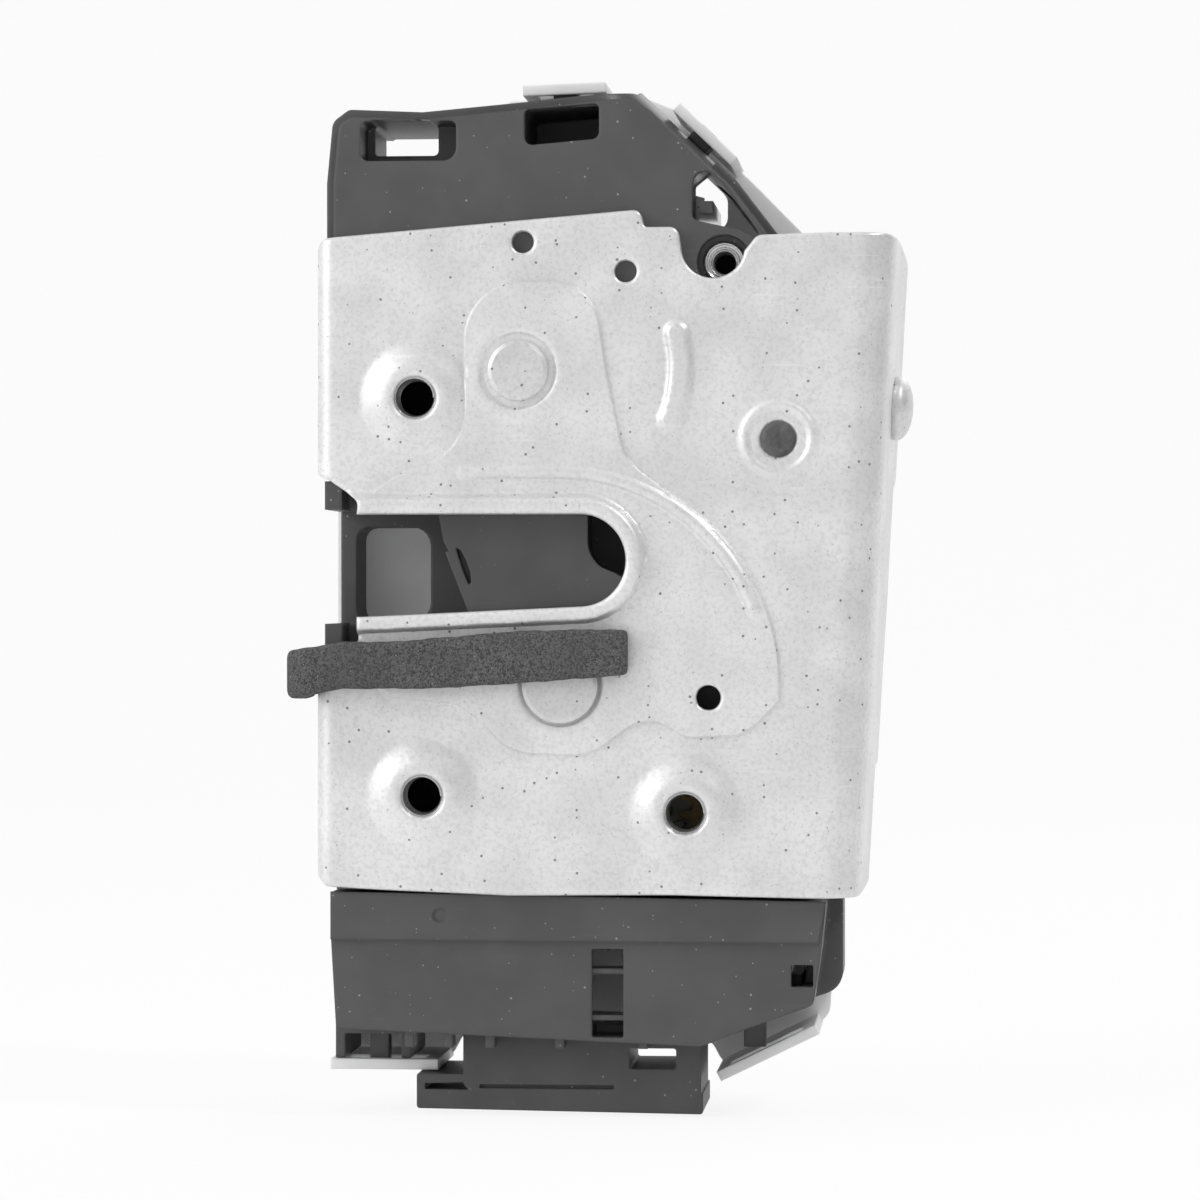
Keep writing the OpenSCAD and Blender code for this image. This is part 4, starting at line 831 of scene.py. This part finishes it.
class NodeShape:
    """A Geometry Nodes tree with named inputs, built in the script."""

    def __init__(self, name, sizes):
        self.tree = bpy.data.node_groups.new(name, "GeometryNodeTree")
        face = self.tree.interface
        face.new_socket("Geometry", in_out="INPUT", socket_type="NodeSocketGeometry")
        for key, value in sizes.items():
            kind = "NodeSocketInt" if isinstance(value, int) else "NodeSocketFloat"
            face.new_socket(key, in_out="INPUT", socket_type=kind).default_value = value
        face.new_socket("Material", in_out="INPUT", socket_type="NodeSocketMaterial")
        face.new_socket("Geometry", in_out="OUTPUT", socket_type="NodeSocketGeometry")
        self.start = self.tree.nodes.new("NodeGroupInput")
        self.end = self.tree.nodes.new("NodeGroupOutput")

    def add(self, kind, settings=None, inputs=None):
        made = self.tree.nodes.new(kind)
        for key, value in (settings or {}).items():
            setattr(made, key, value)
        for key, value in (inputs or {}).items():
            if isinstance(value, str):
                self.tree.links.new(self.start.outputs[value], made.inputs[key])
            elif hasattr(value, "is_output"):
                self.tree.links.new(value, made.inputs[key])
            else:
                made.inputs[key].default_value = value
        return made.outputs

    def sum(self, operation, first, second):
        return self.add("ShaderNodeMath", {"operation": operation}, {0: first, 1: second})[0]

    def circle(self, sides, radius):
        inputs = {"Resolution": sides, "Radius": radius}
        return self.add("GeometryNodeCurvePrimitiveCircle", {"mode": "RADIUS"}, inputs)[0]

    def sweep(self, rail, section, more):
        """A section along a rail round the Z axis, laid round the Y axis of each point."""
        solid = self.add("GeometryNodeCurveToMesh", {}, {"Curve": rail, "Profile Curve": section, **more})[0]
        laid = {"Geometry": solid, "Rotation": (-math.pi / 2, 0, 0)}
        solid = self.add("GeometryNodeTransform", {}, laid)[0]
        many = self.add("GeometryNodeInstanceOnPoints", {}, {"Points": "Geometry", "Instance": solid})[0]
        self.close(many)
        return self

    def close(self, geometry):
        """The last two nodes: real geometry with its material."""
        real = self.add("GeometryNodeRealizeInstances", {}, {0: geometry})[0]
        done = self.add("GeometryNodeSetMaterial", {}, {"Geometry": real, "Material": "Material"})[0]
        self.tree.links.new(done, self.end.inputs[0])

    def grow(self, name, places, values, material):
        """Runs the tree on points in millimetres and keeps the result as a plain mesh."""
        mesh = bpy.data.meshes.new(name + "_points")
        mesh.from_pydata([tuple(c * MM for c in p) for p in places], [], [])
        seed = placed_object(name + "_points", mesh)
        modifier = seed.modifiers.new("shape", "NODES")
        modifier.node_group = self.tree
        for item in self.tree.interface.items_tree:
            if item.in_out == "INPUT" and item.name in values:
                modifier[item.identifier] = values[item.name]
            if item.in_out == "INPUT" and item.name == "Material":
                modifier[item.identifier] = material
        view = bpy.context.evaluated_depsgraph_get()
        result = bpy.data.meshes.new_from_object(seed.evaluated_get(view), depsgraph=view)
        seed.modifiers.remove(modifier)
        bpy.data.objects.remove(seed)
        result.name = name
        if not len(result.polygons):
            raise RuntimeError(f"{name} came out empty")
        result.polygons.foreach_set("use_smooth", [True] * len(result.polygons))
        result.set_sharp_from_angle(angle=math.radians(40))
        made = placed_object(name, result)
        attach(made, "frame")
        return made


def helix_shape():
    """A rod of any section wound round the line along Y through each point: threads."""
    sizes = {"Radius": 0.003, "Pitch": 0.001, "Turns": 4.0}
    sizes.update({"Section radius": 0.0004, "Section sides": 12, "Section turn": 0.0})
    shape = NodeShape("wound rod", sizes)
    height = shape.sum("MULTIPLY", "Pitch", "Turns")
    ends = {"Start Radius": "Radius", "End Radius": "Radius", "Height": height}
    spiral = shape.add("GeometryNodeCurveSpiral", {}, {"Resolution": 40, "Rotations": "Turns", **ends})[0]
    section = shape.circle("Section sides", "Section radius")
    turn = shape.add("ShaderNodeCombineXYZ", {}, {2: "Section turn"})[0]
    section = shape.add("GeometryNodeTransform", {}, {"Geometry": section, "Rotation": turn})[0]
    return shape.sweep(spiral, section, {"Fill Caps": True})


def sleeve_shape():
    """A plain sleeve round the line along Y through each point, with its wall between two radii."""
    shape = NodeShape("sleeve", {"Middle radius": 0.0038, "Wall": 0.0012, "Length": 0.006, "Sides": 64})
    rail = shape.circle("Sides", "Middle radius")
    corner = {"mode": "RECTANGLE"}
    wall = shape.add("GeometryNodeCurvePrimitiveQuadrilateral", corner, {0: "Wall", 1: "Length"})[0]
    return shape.sweep(rail, wall, {})


def thread(name, places, radius, pitch, turns, ridge):
    """A ridge wound round the line along Y through each place; sizes in metres."""
    sizes = {"Radius": radius, "Pitch": pitch, "Turns": turns}
    sizes.update({"Section radius": ridge, "Section sides": 3, "Section turn": math.pi})
    helix_shape().grow(name, places, sizes, finish("thread_steel"))


# Settings


def number(name, description, value, **facts):
    """A setting of the panel."""
    return FloatProperty(name=name, description=description, default=value, **facts)


def length(name, description, size):
    return number(name, description, size * MM, unit="LENGTH", precision=5)


def level(name, description, value):
    return number(name, description, value, min=0, max=1, subtype="FACTOR")


class PlateSettings(bpy.types.PropertyGroup):
    """Sizes of the pressed plate."""

    field_height: length("Field height", "Height of the raised field over the claw and the pawl", 0.75)
    field_step: length("Field step", "Width of the steep step at the rim of the raised field", 0.5)
    rib_height: length("Rib height", "Height of the long curved rib over the field", 0.6)
    boss_height: length("Boss height", "Height of the soft cones round the fixing holes", 1.5)
    boss_foot: length("Boss foot", "Radius at which the cones run out", 9.2)
    lip_height: length("Lip height", "Height of the lip round the striker slot", 2.8)
    thickness: length("Thickness", "Thickness of the sheet", 2.0)
    edge_round: length("Edge rounding", "Rounding of the sheared edges", 0.45)
    mesh_step: length("Mesh step", "Distance between points along the pressed forms", 0.42)


class ToneSettings(bpy.types.PropertyGroup):
    """How light each main material reads, from black to white."""

    plate: level("Plate", "Zinc plated sheet", 0.91)
    housing: level("Housings", "Black moulded housings", 0.31)
    cover: level("Cover", "White rear cover", 0.93)
    foam: level("Foam", "Foam strip", 0.33)
    claw: level("Claw", "Plastic skin of the claw", 0.3)
    rivet: level("Rivets", "Riveted pin heads", 0.86)


class StudioSettings(bpy.types.PropertyGroup):
    """Camera and light."""

    azimuth: number(
        "Azimuth", "Turn of the camera to the right of the front", math.radians(4.53), subtype="ANGLE"
    )
    distance: length("Distance", "Distance of the camera from the plate", 680)
    aim: FloatVectorProperty(
        name="Aim",
        description="Point on the plate in the middle of the picture",
        default=(0.0275, 0.0015, 0.0302),
        subtype="XYZ",
    )
    lens: number("Lens", "Focal length on a 36 mm sensor", 132.6, unit="CAMERA")
    lamp: number("Lamp", "Power of the soft lamp at the left", 2.8, unit="POWER")
    sky: number("Sky", "Strength of the even light from all sides", 0.58, min=0)


def sizes_of(group):
    """A settings group with its lengths in millimetres."""
    made = type("Sizes", (), {})()
    for key in group.bl_rna.properties.keys():
        if key in ("rna_type", "name"):
            continue
        rna = group.bl_rna.properties[key]
        value = getattr(group, key)
        setattr(made, key, value / MM if rna.unit == "LENGTH" else value)
    return made


# Finishes

_finishes = {}


def finish(name):
    """The material of that name, built when it is first asked for."""
    if name not in _finishes:
        tones = bpy.context.scene.latch_tones
        recipes = {
            "zinc_sheet": (zinc_sheet, tones.plate),
            "rivet_steel": (zinc_sheet, tones.rivet),
            "rough_rivet": (worn_steel, 0.46, 0.62, 1.4),
            "thread_steel": (worn_steel, 0.8, 0.28, 0.3),
            "bright_steel": (worn_steel, 0.88, 0.16, 0.15),
            "dark_steel": (worn_steel, 0.42, 0.4, 0.6),
            "spring_steel": (worn_steel, 0.38, 0.3, 0.2),
            "lever_zinc": (worn_steel, 0.78, 0.36, 0.5),
            "motor_steel": (worn_steel, 0.7, 0.25, 0.3),
            "housing_black": (moulded, tones.housing, 0.34, 0.0007, 0.55, 0.4),
            "housing_gloss": (moulded, tones.housing, 0.24, 0.0005, 0.5, 0.3),
            "rail_black": (moulded, tones.housing - 0.02, 0.4, 0.0004, 0.4, 0.4),
            "cover_white": (natural, tones.cover, 0.004),
            "claw_skin": (moulded, tones.claw, 0.36, 0.0005, 0.15, 0.25),
            "hook_black": (moulded, 0.2, 0.45, 0.0003, 0.3, 0.4),
            "foam_grey": (rubber_foam, tones.foam),
            "buffer_rubber": (rubber, 0.14),
            "acetal": (moulded, 0.88, 0.35, 0.0002, 0.0, 0.2, (0.0, -0.01, -0.05)),
            "slide_acetal": (moulded, 0.66, 0.38, 0.0003, 0.0, 0.2, (0.08, 0.0, -0.22)),
            "switch_red": (moulded, 0.35, 0.42, 0.0003, 0.0, 0.2, (0.3, -0.12, -0.14)),
            "contact_copper": (plated, (0.12, -0.12, -0.32), 0.25),
        }
        maker, *values = recipes[name]
        _finishes[name] = maker(name, *values)
    return _finishes[name]


# The solids that wear each finish
NODE_FINISHES = {
    "zinc_sheet": "latch_plate",
    "lever_zinc": "back_plate outside_lever inside_lever",
    "rivet_steel": "claw_pin pawl_pin flange_rivet",
    "rough_rivet": "tie_rivet",
    "housing_black": "main_housing lower_housing",
    "cover_white": "rear_cover",
    "rail_black": "guide_rail motor_cap connector_socket",
    "foam_grey": "foam_seal",
    "bright_steel": "threaded_bush cover_screws",
    "buffer_rubber": "striker_buffer claw_stop pawl_stop",
    "dark_steel": "claw_core pawl_core key_lever",
    "claw_skin": "claw_cover pawl_cover",
    "spring_steel": "claw_spring pawl_spring lever_pin_clip",
    "thread_steel": "pawl_release_pin lever_pin wheel_axle motor_shaft",
    "acetal": "lever_spacer worm_wheel motor_worm switch_plunger",
    "slide_acetal": "lock_slide",
    "motor_steel": "motor_can",
    "switch_red": "ajar_switch",
    "contact_copper": "connector_pins contact_strips",
}


# Operators


class LatchOperator:
    """What all operators of this file share."""

    bl_options = {"REGISTER"}

    def execute(self, context):
        self.build(context)
        return {"FINISHED"}


class LATCH_OT_finishes(LatchOperator, bpy.types.Operator):
    """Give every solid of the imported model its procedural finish"""

    bl_idname = "door_latch.finishes"
    bl_label = "Finishes of the solids"

    def build(self, context):
        finish_of = {node: look for look, nodes in NODE_FINISHES.items() for node in nodes.split()}
        for name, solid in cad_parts.items():
            solid.data.materials.clear()
            solid.data.materials.append(finish(finish_of[name]))


class LATCH_OT_plate(LatchOperator, bpy.types.Operator):
    """Press the plate: soft cones, raised field, ribs, slot lip and folds in one sheet"""

    bl_idname = "door_latch.plate"
    bl_label = "Pressed plate"

    def build(self, context):
        build_plate(sizes_of(context.scene.latch_plate), finish("zinc_sheet"))


class LATCH_OT_threads(LatchOperator, bpy.types.Operator):
    """Cut the threads of the three fixing holes"""

    bl_idname = "door_latch.threads"
    bl_label = "Threads"

    def build(self, context):
        mouths = [(x, 0.55, z) for x, z in FIXING_HOLES]
        middles = [(x, 3.5, z) for x, z in FIXING_HOLES]
        sizes = {"Middle radius": 0.00378, "Wall": 0.00116, "Length": 0.0059}
        sleeve_shape().grow("fixing_collars", middles, sizes, finish("thread_steel"))
        thread("fixing_threads", mouths, 0.00318, 0.001, 5.4, 0.00052)


class LATCH_OT_rivets(LatchOperator, bpy.types.Operator):
    """Turn the riveted heads: worn flat discs, the rough tie rivet and the domed flange rivet"""

    bl_idname = "door_latch.rivets"
    bl_label = "Riveted heads"

    def build(self, context):
        face = FACE_Y - 0.9
        top = face - 0.4
        heads = (("claw_pin_head", DISCS[0], 1.0), ("pawl_pin_head", DISCS[1], 7.0))
        for name, (pivot, radius), seed in heads:

            def wobble(r, a):
                at = Vector((r * 0.6 * math.cos(a) + seed, r * 0.6 * math.sin(a), seed))
                return 0.1 * noise.noise(at) * (r < radius)

            profile = [(0, top)]
            profile += [(r, top + 0.02 * math.sin(r * 2.1)) for r in np.linspace(0.4, radius - 0.6, 14)]
            profile += [(radius - 0.3, top + 0.03), (radius - 0.12, top + 0.1), (radius, top + 0.28)]
            profile += [(radius + 0.02, top + 0.6), (radius + 0.02, face + 0.55), (0, face + 0.6)]
            turned(name, pivot, profile, 96, "rivet_steel", wobble)

        def rough(r, a):
            return 0.28 * noise.noise(Vector((r * 1.3 * math.cos(a), r * 1.3 * math.sin(a), 3.0))) * (r < 2.9)

        profile = [(0, 0.95)] + [(r, 0.95 + 0.05 * r) for r in np.linspace(0.3, 2.3, 10)]
        profile += [(2.6, 1.25), (2.75, 1.6), (2.75, 2.6), (0, 2.6)]
        turned("tie_rivet_end", TIE_RIVET, profile, 56, "rough_rivet", rough)
        self.flange_rivet()
        self.bush()

    def bush(self):
        """The bright bush behind the notch, with its rolled rim and thread."""
        profile = [(1.95, 13.4), (3.2, 13.4), (3.2, 5.8), (3.12, 5.55), (2.95, 5.42), (2.78, 5.5)]
        profile += [(2.66, 5.72), (2.5, 5.76), (2.36, 5.6), (2.2, 5.5), (2.02, 5.62), (1.95, 5.9)]
        profile += [(1.95, 13.4)]
        made = turned("bush_sleeve", BUSH, profile, 72, "bright_steel", keep_edges=50)
        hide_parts("threaded_bush")
        thread("bush_thread", [(BUSH[0], 6.0, BUSH[1])], 0.00196, 0.0007, 9.0, 0.00034)

    def flange_rivet(self):
        """The domed rivet, on the foot of the flange and square to it."""
        dome_r, dome_low, dome_rise = 5.0, 0.75, 2.3
        turns = np.linspace(0.08, math.pi / 2, 14)
        profile = [(0, dome_low + dome_rise)]
        profile += [(dome_r * math.sin(a), dome_low + dome_rise * math.cos(a)) for a in turns]
        profile += [(dome_r, 0.35), (4.8, 0.0), (2.65, -0.05), (2.55, -2.0)]
        profile += [(4.0, -2.0), (4.0, -3.2), (3.6, -3.9), (0, -3.95)]
        verts, faces = lathe((0, 0), profile, 64)
        x, z = fold_join(FOLD_ARC + RIVET_ON_FLANGE[0], RIVET_ON_FLANGE[1])
        foot, tip = folded(x, z, 0.0), folded(x, z, 1.0)
        out = Vector(tip) - Vector(foot)
        along = Vector((math.sin(FOLD_LEAN), 0, math.cos(FOLD_LEAN)))
        across = out.cross(along).normalized()
        placed = [tuple(Vector(foot) + across * v[0] + out * v[1] + along * v[2]) for v in verts]
        made = piece("flange_rivet_dome", placed, faces, finish("rivet_steel"), keep_edges=40)
        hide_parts("flange_rivet")


# The foam strip in millimetres: its two ends along X, the step between rings, the depth of its middle
# line, the bend round the plate's edge and half its thickness; and the points in one ring
FOAM_END_X, FOAM_TURN_X, FOAM_STEP = 32.0, -16.2, 0.6
FOAM_Y, FOAM_BEND, FOAM_HALF = -1.7, 3.1, 1.93
FOAM_AROUND = 56


def band_faces(around, starts):
    """Quads between rings of points that begin at those numbers."""
    return [
        [low + k, low + (k + 1) % around, high + (k + 1) % around, high + k]
        for low, high in zip(starts, starts[1:])
        for k in range(around)
    ]


def foam_section(s):
    """Lower and upper edge of the foam strip at a distance along its run."""
    wave = 0.05 * math.sin(s * 0.9) + 0.04 * math.sin(s * 2.3 + 1.0)
    low = float(np.interp(s, (0, 17, 30, 48), (18.7, 17.4, 16.6, 16.5)))
    high = float(np.interp(s, (0, 6, 17, 36, 48), (25.6, 25.7, 25.45, 23.8, 23.75)))
    wrap = smooth(np.array((s - 43.0) / 10.0)).item()
    return low - 1.5 * wrap + wave, high - 1.3 * wrap + wave


class LATCH_OT_foam(LatchOperator, bpy.types.Operator):
    """Lay the foam strip over the lower lip and round the plate's left edge"""

    bl_idname = "door_latch.foam"
    bl_label = "Foam strip"

    def build(self, context):
        steps = int((FOAM_END_X - FOAM_TURN_X) / FOAM_STEP)
        middle = [(FOAM_END_X - FOAM_STEP * k, FOAM_Y) for k in range(steps + 1)]
        last = middle[-1][0]
        bend = np.linspace(0.15, math.pi / 2, 11)
        middle += [(last - FOAM_BEND * math.sin(a), 1.4 - FOAM_BEND * math.cos(a)) for a in bend]
        middle += [(last - FOAM_BEND, 1.4 + 0.5 * k) for k in range(1, 14)]
        middle = np.array(middle)
        ahead = np.gradient(middle, axis=0)
        ahead /= np.linalg.norm(ahead, axis=1)[:, None]
        side = np.stack([-ahead[:, 1], ahead[:, 0]], 1)
        run = np.concatenate([[0], np.cumsum(np.linalg.norm(np.diff(middle, axis=0), axis=1))])
        around, rows = FOAM_AROUND, len(middle)
        verts = []
        for p, n, s in zip(middle, side, run):
            low, high = foam_section(s)
            end = min(s, run[-1] - s)
            shrink = math.sqrt(max(0.0, 1 - max(0.0, 1 - end / 0.9) ** 2)) * 0.55 + 0.45
            for k in range(around):
                a = 2 * math.pi * k / around
                c, d = math.cos(a), math.sin(a)
                u = math.copysign(abs(c) ** 0.42, c)
                v = math.copysign(abs(d) ** 0.34, d)
                lump = 0.14 * noise.noise(Vector((s * 0.8, u * 2.0, v * 2.0)))
                lump += 0.07 * noise.noise(Vector((s * 3.1, u * 5.0, v * 5.0)))
                half = FOAM_HALF + lump * 0.6
                height = (high - low) / 2 * (1 + lump * 0.12)
                away = -n * u * half * shrink
                z = (high + low) / 2 + v * height * (0.9 + 0.1 * shrink) + 0.1 * lump
                verts.append((p[0] + away[0], p[1] + away[1], z))
        faces = band_faces(around, [i * around for i in range(rows)])
        for row in (0, rows - 1):
            ring_points = np.array(verts[row * around : (row + 1) * around])
            centre = ring_points.mean(0)
            inner = len(verts)
            verts.extend(map(tuple, centre + (ring_points - centre) * 0.6))
            verts.append(tuple(centre))
            for k in range(around):
                n = (k + 1) % around
                faces.append([row * around + k, row * around + n, inner + n, inner + k])
                faces.append([inner + k, inner + n, inner + around])
        strip = piece("foam_strip", verts, faces, finish("foam_grey"))
        smoother = strip.modifiers.new("finer", "SUBSURF")
        smoother.levels = smoother.render_levels = 1
        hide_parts("foam_seal")


class LATCH_OT_trim(LatchOperator, bpy.types.Operator):
    """Reshape the upper housing and the claw, add the dark wells that paint the shade deep in the holes, and
    add the hooks of the snap loops
    """

    bl_idname = "door_latch.trim"
    bl_label = "Moulded trim"

    def build(self, context):
        self.shoulder()
        self.claw()
        self.wells()
        parts = []
        for (x, z), turn in (((21.0, 110.0), -2.0), ((42.9, 102.8), 43.8)):
            verts, faces = block((-1.9, 14.2, -2.0), (1.9, 20.5, 1.15), 0.5)
            c, s = math.cos(math.radians(turn)), math.sin(math.radians(turn))
            parts.append(([(x + v[0] * c + v[2] * s, v[1], z - v[0] * s + v[2] * c) for v in verts], faces))
        piece("upper_snap_hooks", *gather(parts), finish("hook_black"))

    def wells(self):
        """Blind wells behind the fixing holes and the bush; their dark rubber finish is painted shade, so
        that the holes read black deep inside.
        """
        parts = []
        wells = [(hole, 4.2, 12.6, 17.9) for hole in FIXING_HOLES[:2]]
        wells.append((BUSH, 2.7, BUSH_END, BUSH_END + 1.6))
        for at, r, first, last in wells:
            profile = [(0, last - 0.5), (r - 0.8, last - 0.5), (r - 0.3, last - 0.9), (r - 0.2, first)]
            profile += [(r, first), (r, last - 0.4), (r - 0.4, last), (0, last)]
            parts.append(lathe(at, profile, 40))
        # painted shade: the dark rubber finish makes the holes read black deep inside
        piece("dark_shade_wells", *gather(parts), finish("buffer_rubber"), keep_edges=40)

    def shoulder(self):
        """The upper housing with the large rounded shoulder along its sloping edge."""
        start, along, inward = Vector((36.2, 106.6)), Vector((0.722, -0.692)), Vector((-0.692, -0.722))
        r, wall, front = 9.0, 2.0, 6.2
        turns = np.linspace(math.pi / 2, 0, 34)
        arc = lambda radius: [(r - radius * math.cos(a), front + r - radius * math.sin(a)) for a in turns]

        def swept(section, first, last):
            verts = []
            for s in (first, last):
                for w, y in section:
                    at = start + along * s + inward * w
                    verts.append((at.x, y, at.y))
            return verts, prism_faces(len(section))

        outside = [*arc(r), (-3.0, front + r), (-3.0, front - 1.0), (r, front - 1.0)]
        shell = [*arc(r), *arc(r - wall)[::-1]]
        top = Vector((32.4, 109.2)) - start
        first = top.dot(along) + 0.2
        made = reshaped(
            "main_housing", "upper_housing_shell", finish("housing_black"), "frame",
            [("DIFFERENCE", swept(outside, first - 7, 12.6)), ("UNION", swept(shell, first, 12.6))],
        )
        made.data.materials.append(finish("housing_gloss"))
        for face in made.data.polygons:
            at = face.center / MM
            flat = Vector((at.x, at.z)) - start
            w = flat.dot(inward)
            if flat.dot(along) < 12.7 and w < r and abs(math.hypot(w - r, at.y - front - r) - r) < 0.2:
                face.material_index = 1

    def claw(self):
        """The claw's skin and core as they show in the slot: closed mouth, short jaw, curved damping slit."""
        mouth = [(2.2, 43.6), (3.0, 39.3), (4.0, 37.4), (5.4, 33.6)]
        mouth += [(6.4, 31.0), (8.8, 29.6), (12.5, 29.6), (12.5, 43.6)]
        slit = [(4.9, 38.3), (5.7, 37.9), (6.6, 36.2), (7.2, 34.4)]
        slit += [(7.3, 32.9), (6.9, 32.6), (6.1, 34.5), (5.4, 36.6)]
        jaw = prism([(-14, 27.2), (0.5, 27.2), (0.5, 38), (-14, 38)], 3.0, 12.0)
        skin = [("DIFFERENCE", jaw), ("UNION", prism(mouth, 3.9, 6.2)), ("DIFFERENCE", prism(slit, 3.0, 5.9))]
        reshaped("claw_cover", "claw_skin", finish("claw_skin"), "claw", skin)
        reshaped("claw_core", "claw_plate", finish("dark_steel"), "claw", [("DIFFERENCE", jaw)])


class LATCH_OT_studio(LatchOperator, bpy.types.Operator):
    """Set the pale floor, the soft light and the camera of the photograph"""

    bl_idname = "door_latch.studio"
    bl_label = "Studio"

    def build(self, context):
        look = context.scene.latch_studio
        scene = context.scene
        scene.view_settings.view_transform = "Standard"
        self.floor()
        self.light(scene, look)
        turn = look.azimuth
        back = Vector((math.sin(turn), -math.cos(turn), 0))
        data = bpy.data.cameras.new("camera")
        data.lens, data.sensor_width = look.lens, 36
        data.clip_start, data.clip_end = 0.01, 20
        camera = placed_object("camera", data)
        camera.location = Vector(look.aim) + back * look.distance
        camera.rotation_mode = "QUATERNION"
        camera.rotation_quaternion = (-back).to_track_quat("-Z", "Y")
        scene.camera = camera

    def floor(self):
        """White paper that sweeps up behind the part."""
        low = cad_box[0].z - 0.0004
        profile = [(-2.5, low), (1.1, low)]
        sweep = np.linspace(0.1, math.pi / 2, 16)
        profile += [(1.1 + 0.5 * math.sin(a), low + 0.5 - 0.5 * math.cos(a)) for a in sweep]
        profile += [(1.6, low + 2.6)]
        verts = [(x, y, z) for y, z in profile for x in (-2.5, 2.5)]
        faces = [(2 * k, 2 * k + 1, 2 * k + 3, 2 * k + 2) for k in range(len(profile) - 1)]
        mesh = bpy.data.meshes.new("studio_floor")
        mesh.from_pydata(verts, [], faces)
        mesh.polygons.foreach_set("use_smooth", [True] * len(faces))
        floor = placed_object("studio_floor", mesh)
        paper = bpy.data.materials.new("studio_paper")
        graph = Graph(paper)
        seen = graph.node("ShaderNodeLightPath", {}, {}, "Is Camera Ray")
        for ray in ("Is Glossy Ray", "Is Transmission Ray"):
            seen = seen.math("MAXIMUM", graph.node("ShaderNodeLightPath", {}, {}, ray))
        matt = graph.node("ShaderNodeBsdfDiffuse", {}, {"Color": (0.9, 0.9, 0.9, 1)})
        glow = graph.node("ShaderNodeEmission", {}, {})
        both = graph.node("ShaderNodeMixShader", {}, {0: seen * 0.88, 1: matt, 2: glow})
        graph.end_in("ShaderNodeOutputMaterial", both)
        mesh.materials.append(paper)

    def light(self, scene, look):
        """Even light that leans to the left and to the top, and three soft lamps."""
        scene.world = bpy.data.worlds.new("studio_sky")
        graph = Graph(scene.world)
        where = graph.node("ShaderNodeTexCoord", {}, {}, "Generated")
        x, z = (graph.node("ShaderNodeSeparateXYZ", {}, {0: where}, axis) for axis in (0, 2))
        white = (1, 1, 1, 1)
        inputs = {"Color": white, "Strength": x * -0.34 + z * 0.2 + look.sky}
        even = graph.node("ShaderNodeBackground", {}, inputs)
        plain = graph.node("ShaderNodeBackground", {}, {"Color": white})
        seen = graph.node("ShaderNodeLightPath", {}, {}, "Is Camera Ray")
        both = graph.node("ShaderNodeMixShader", {}, {0: seen, 1: even, 2: plain})
        graph.end_in("ShaderNodeOutputWorld", both)
        for name, place, size, power in (
            ("left_lamp", (-0.75, -0.55, 0.42), 0.5, look.lamp),
            ("upper_right_lamp", (0.73, -0.33, 0.87), 0.12, look.lamp * 1.1),
            ("rear_lamp", (0.5, 0.9, 0.7), 0.6, look.lamp * 0.6),
        ):
            lamp = bpy.data.lights.new(name, "AREA")
            lamp.shape, lamp.size, lamp.energy = "SQUARE", size, power
            made = placed_object(name, lamp)
            made.location = place
            made.rotation_mode = "QUATERNION"
            made.rotation_quaternion = (Vector((0.03, 0.01, 0.03)) - Vector(place)).to_track_quat("-Z", "Y")


STEPS = (
    LATCH_OT_studio,
    LATCH_OT_finishes,
    LATCH_OT_plate,
    LATCH_OT_threads,
    LATCH_OT_rivets,
    LATCH_OT_foam,
    LATCH_OT_trim,
)


class LATCH_PT_panel(bpy.types.Panel):
    """Lists the steps and their settings"""

    bl_label = "Door latch"
    bl_idname = "LATCH_PT_panel"
    bl_space_type = "VIEW_3D"
    bl_region_type = "UI"
    bl_category = "Door Latch"

    def draw(self, context):
        for step in STEPS:
            self.layout.operator(step.bl_idname)
        for group in (context.scene.latch_plate, context.scene.latch_tones, context.scene.latch_studio):
            box = self.layout.box()
            for key in group.bl_rna.properties.keys():
                if key not in ("rna_type", "name"):
                    box.prop(group, key)


CLASSES = (PlateSettings, ToneSettings, StudioSettings, *STEPS, LATCH_PT_panel)
GROUPS = {"latch_plate": PlateSettings, "latch_tones": ToneSettings, "latch_studio": StudioSettings}


def register():
    for kind in CLASSES:
        bpy.utils.register_class(kind)
    for name, kind in GROUPS.items():
        setattr(bpy.types.Scene, name, PointerProperty(type=kind))


def unregister():
    for name in GROUPS:
        delattr(bpy.types.Scene, name)
    for kind in reversed(CLASSES):
        bpy.utils.unregister_class(kind)


def main():
    register()
    for step in STEPS:
        family, name = step.bl_idname.split(".")
        getattr(getattr(bpy.ops, family), name)()


if __name__ == "__main__":
    main()
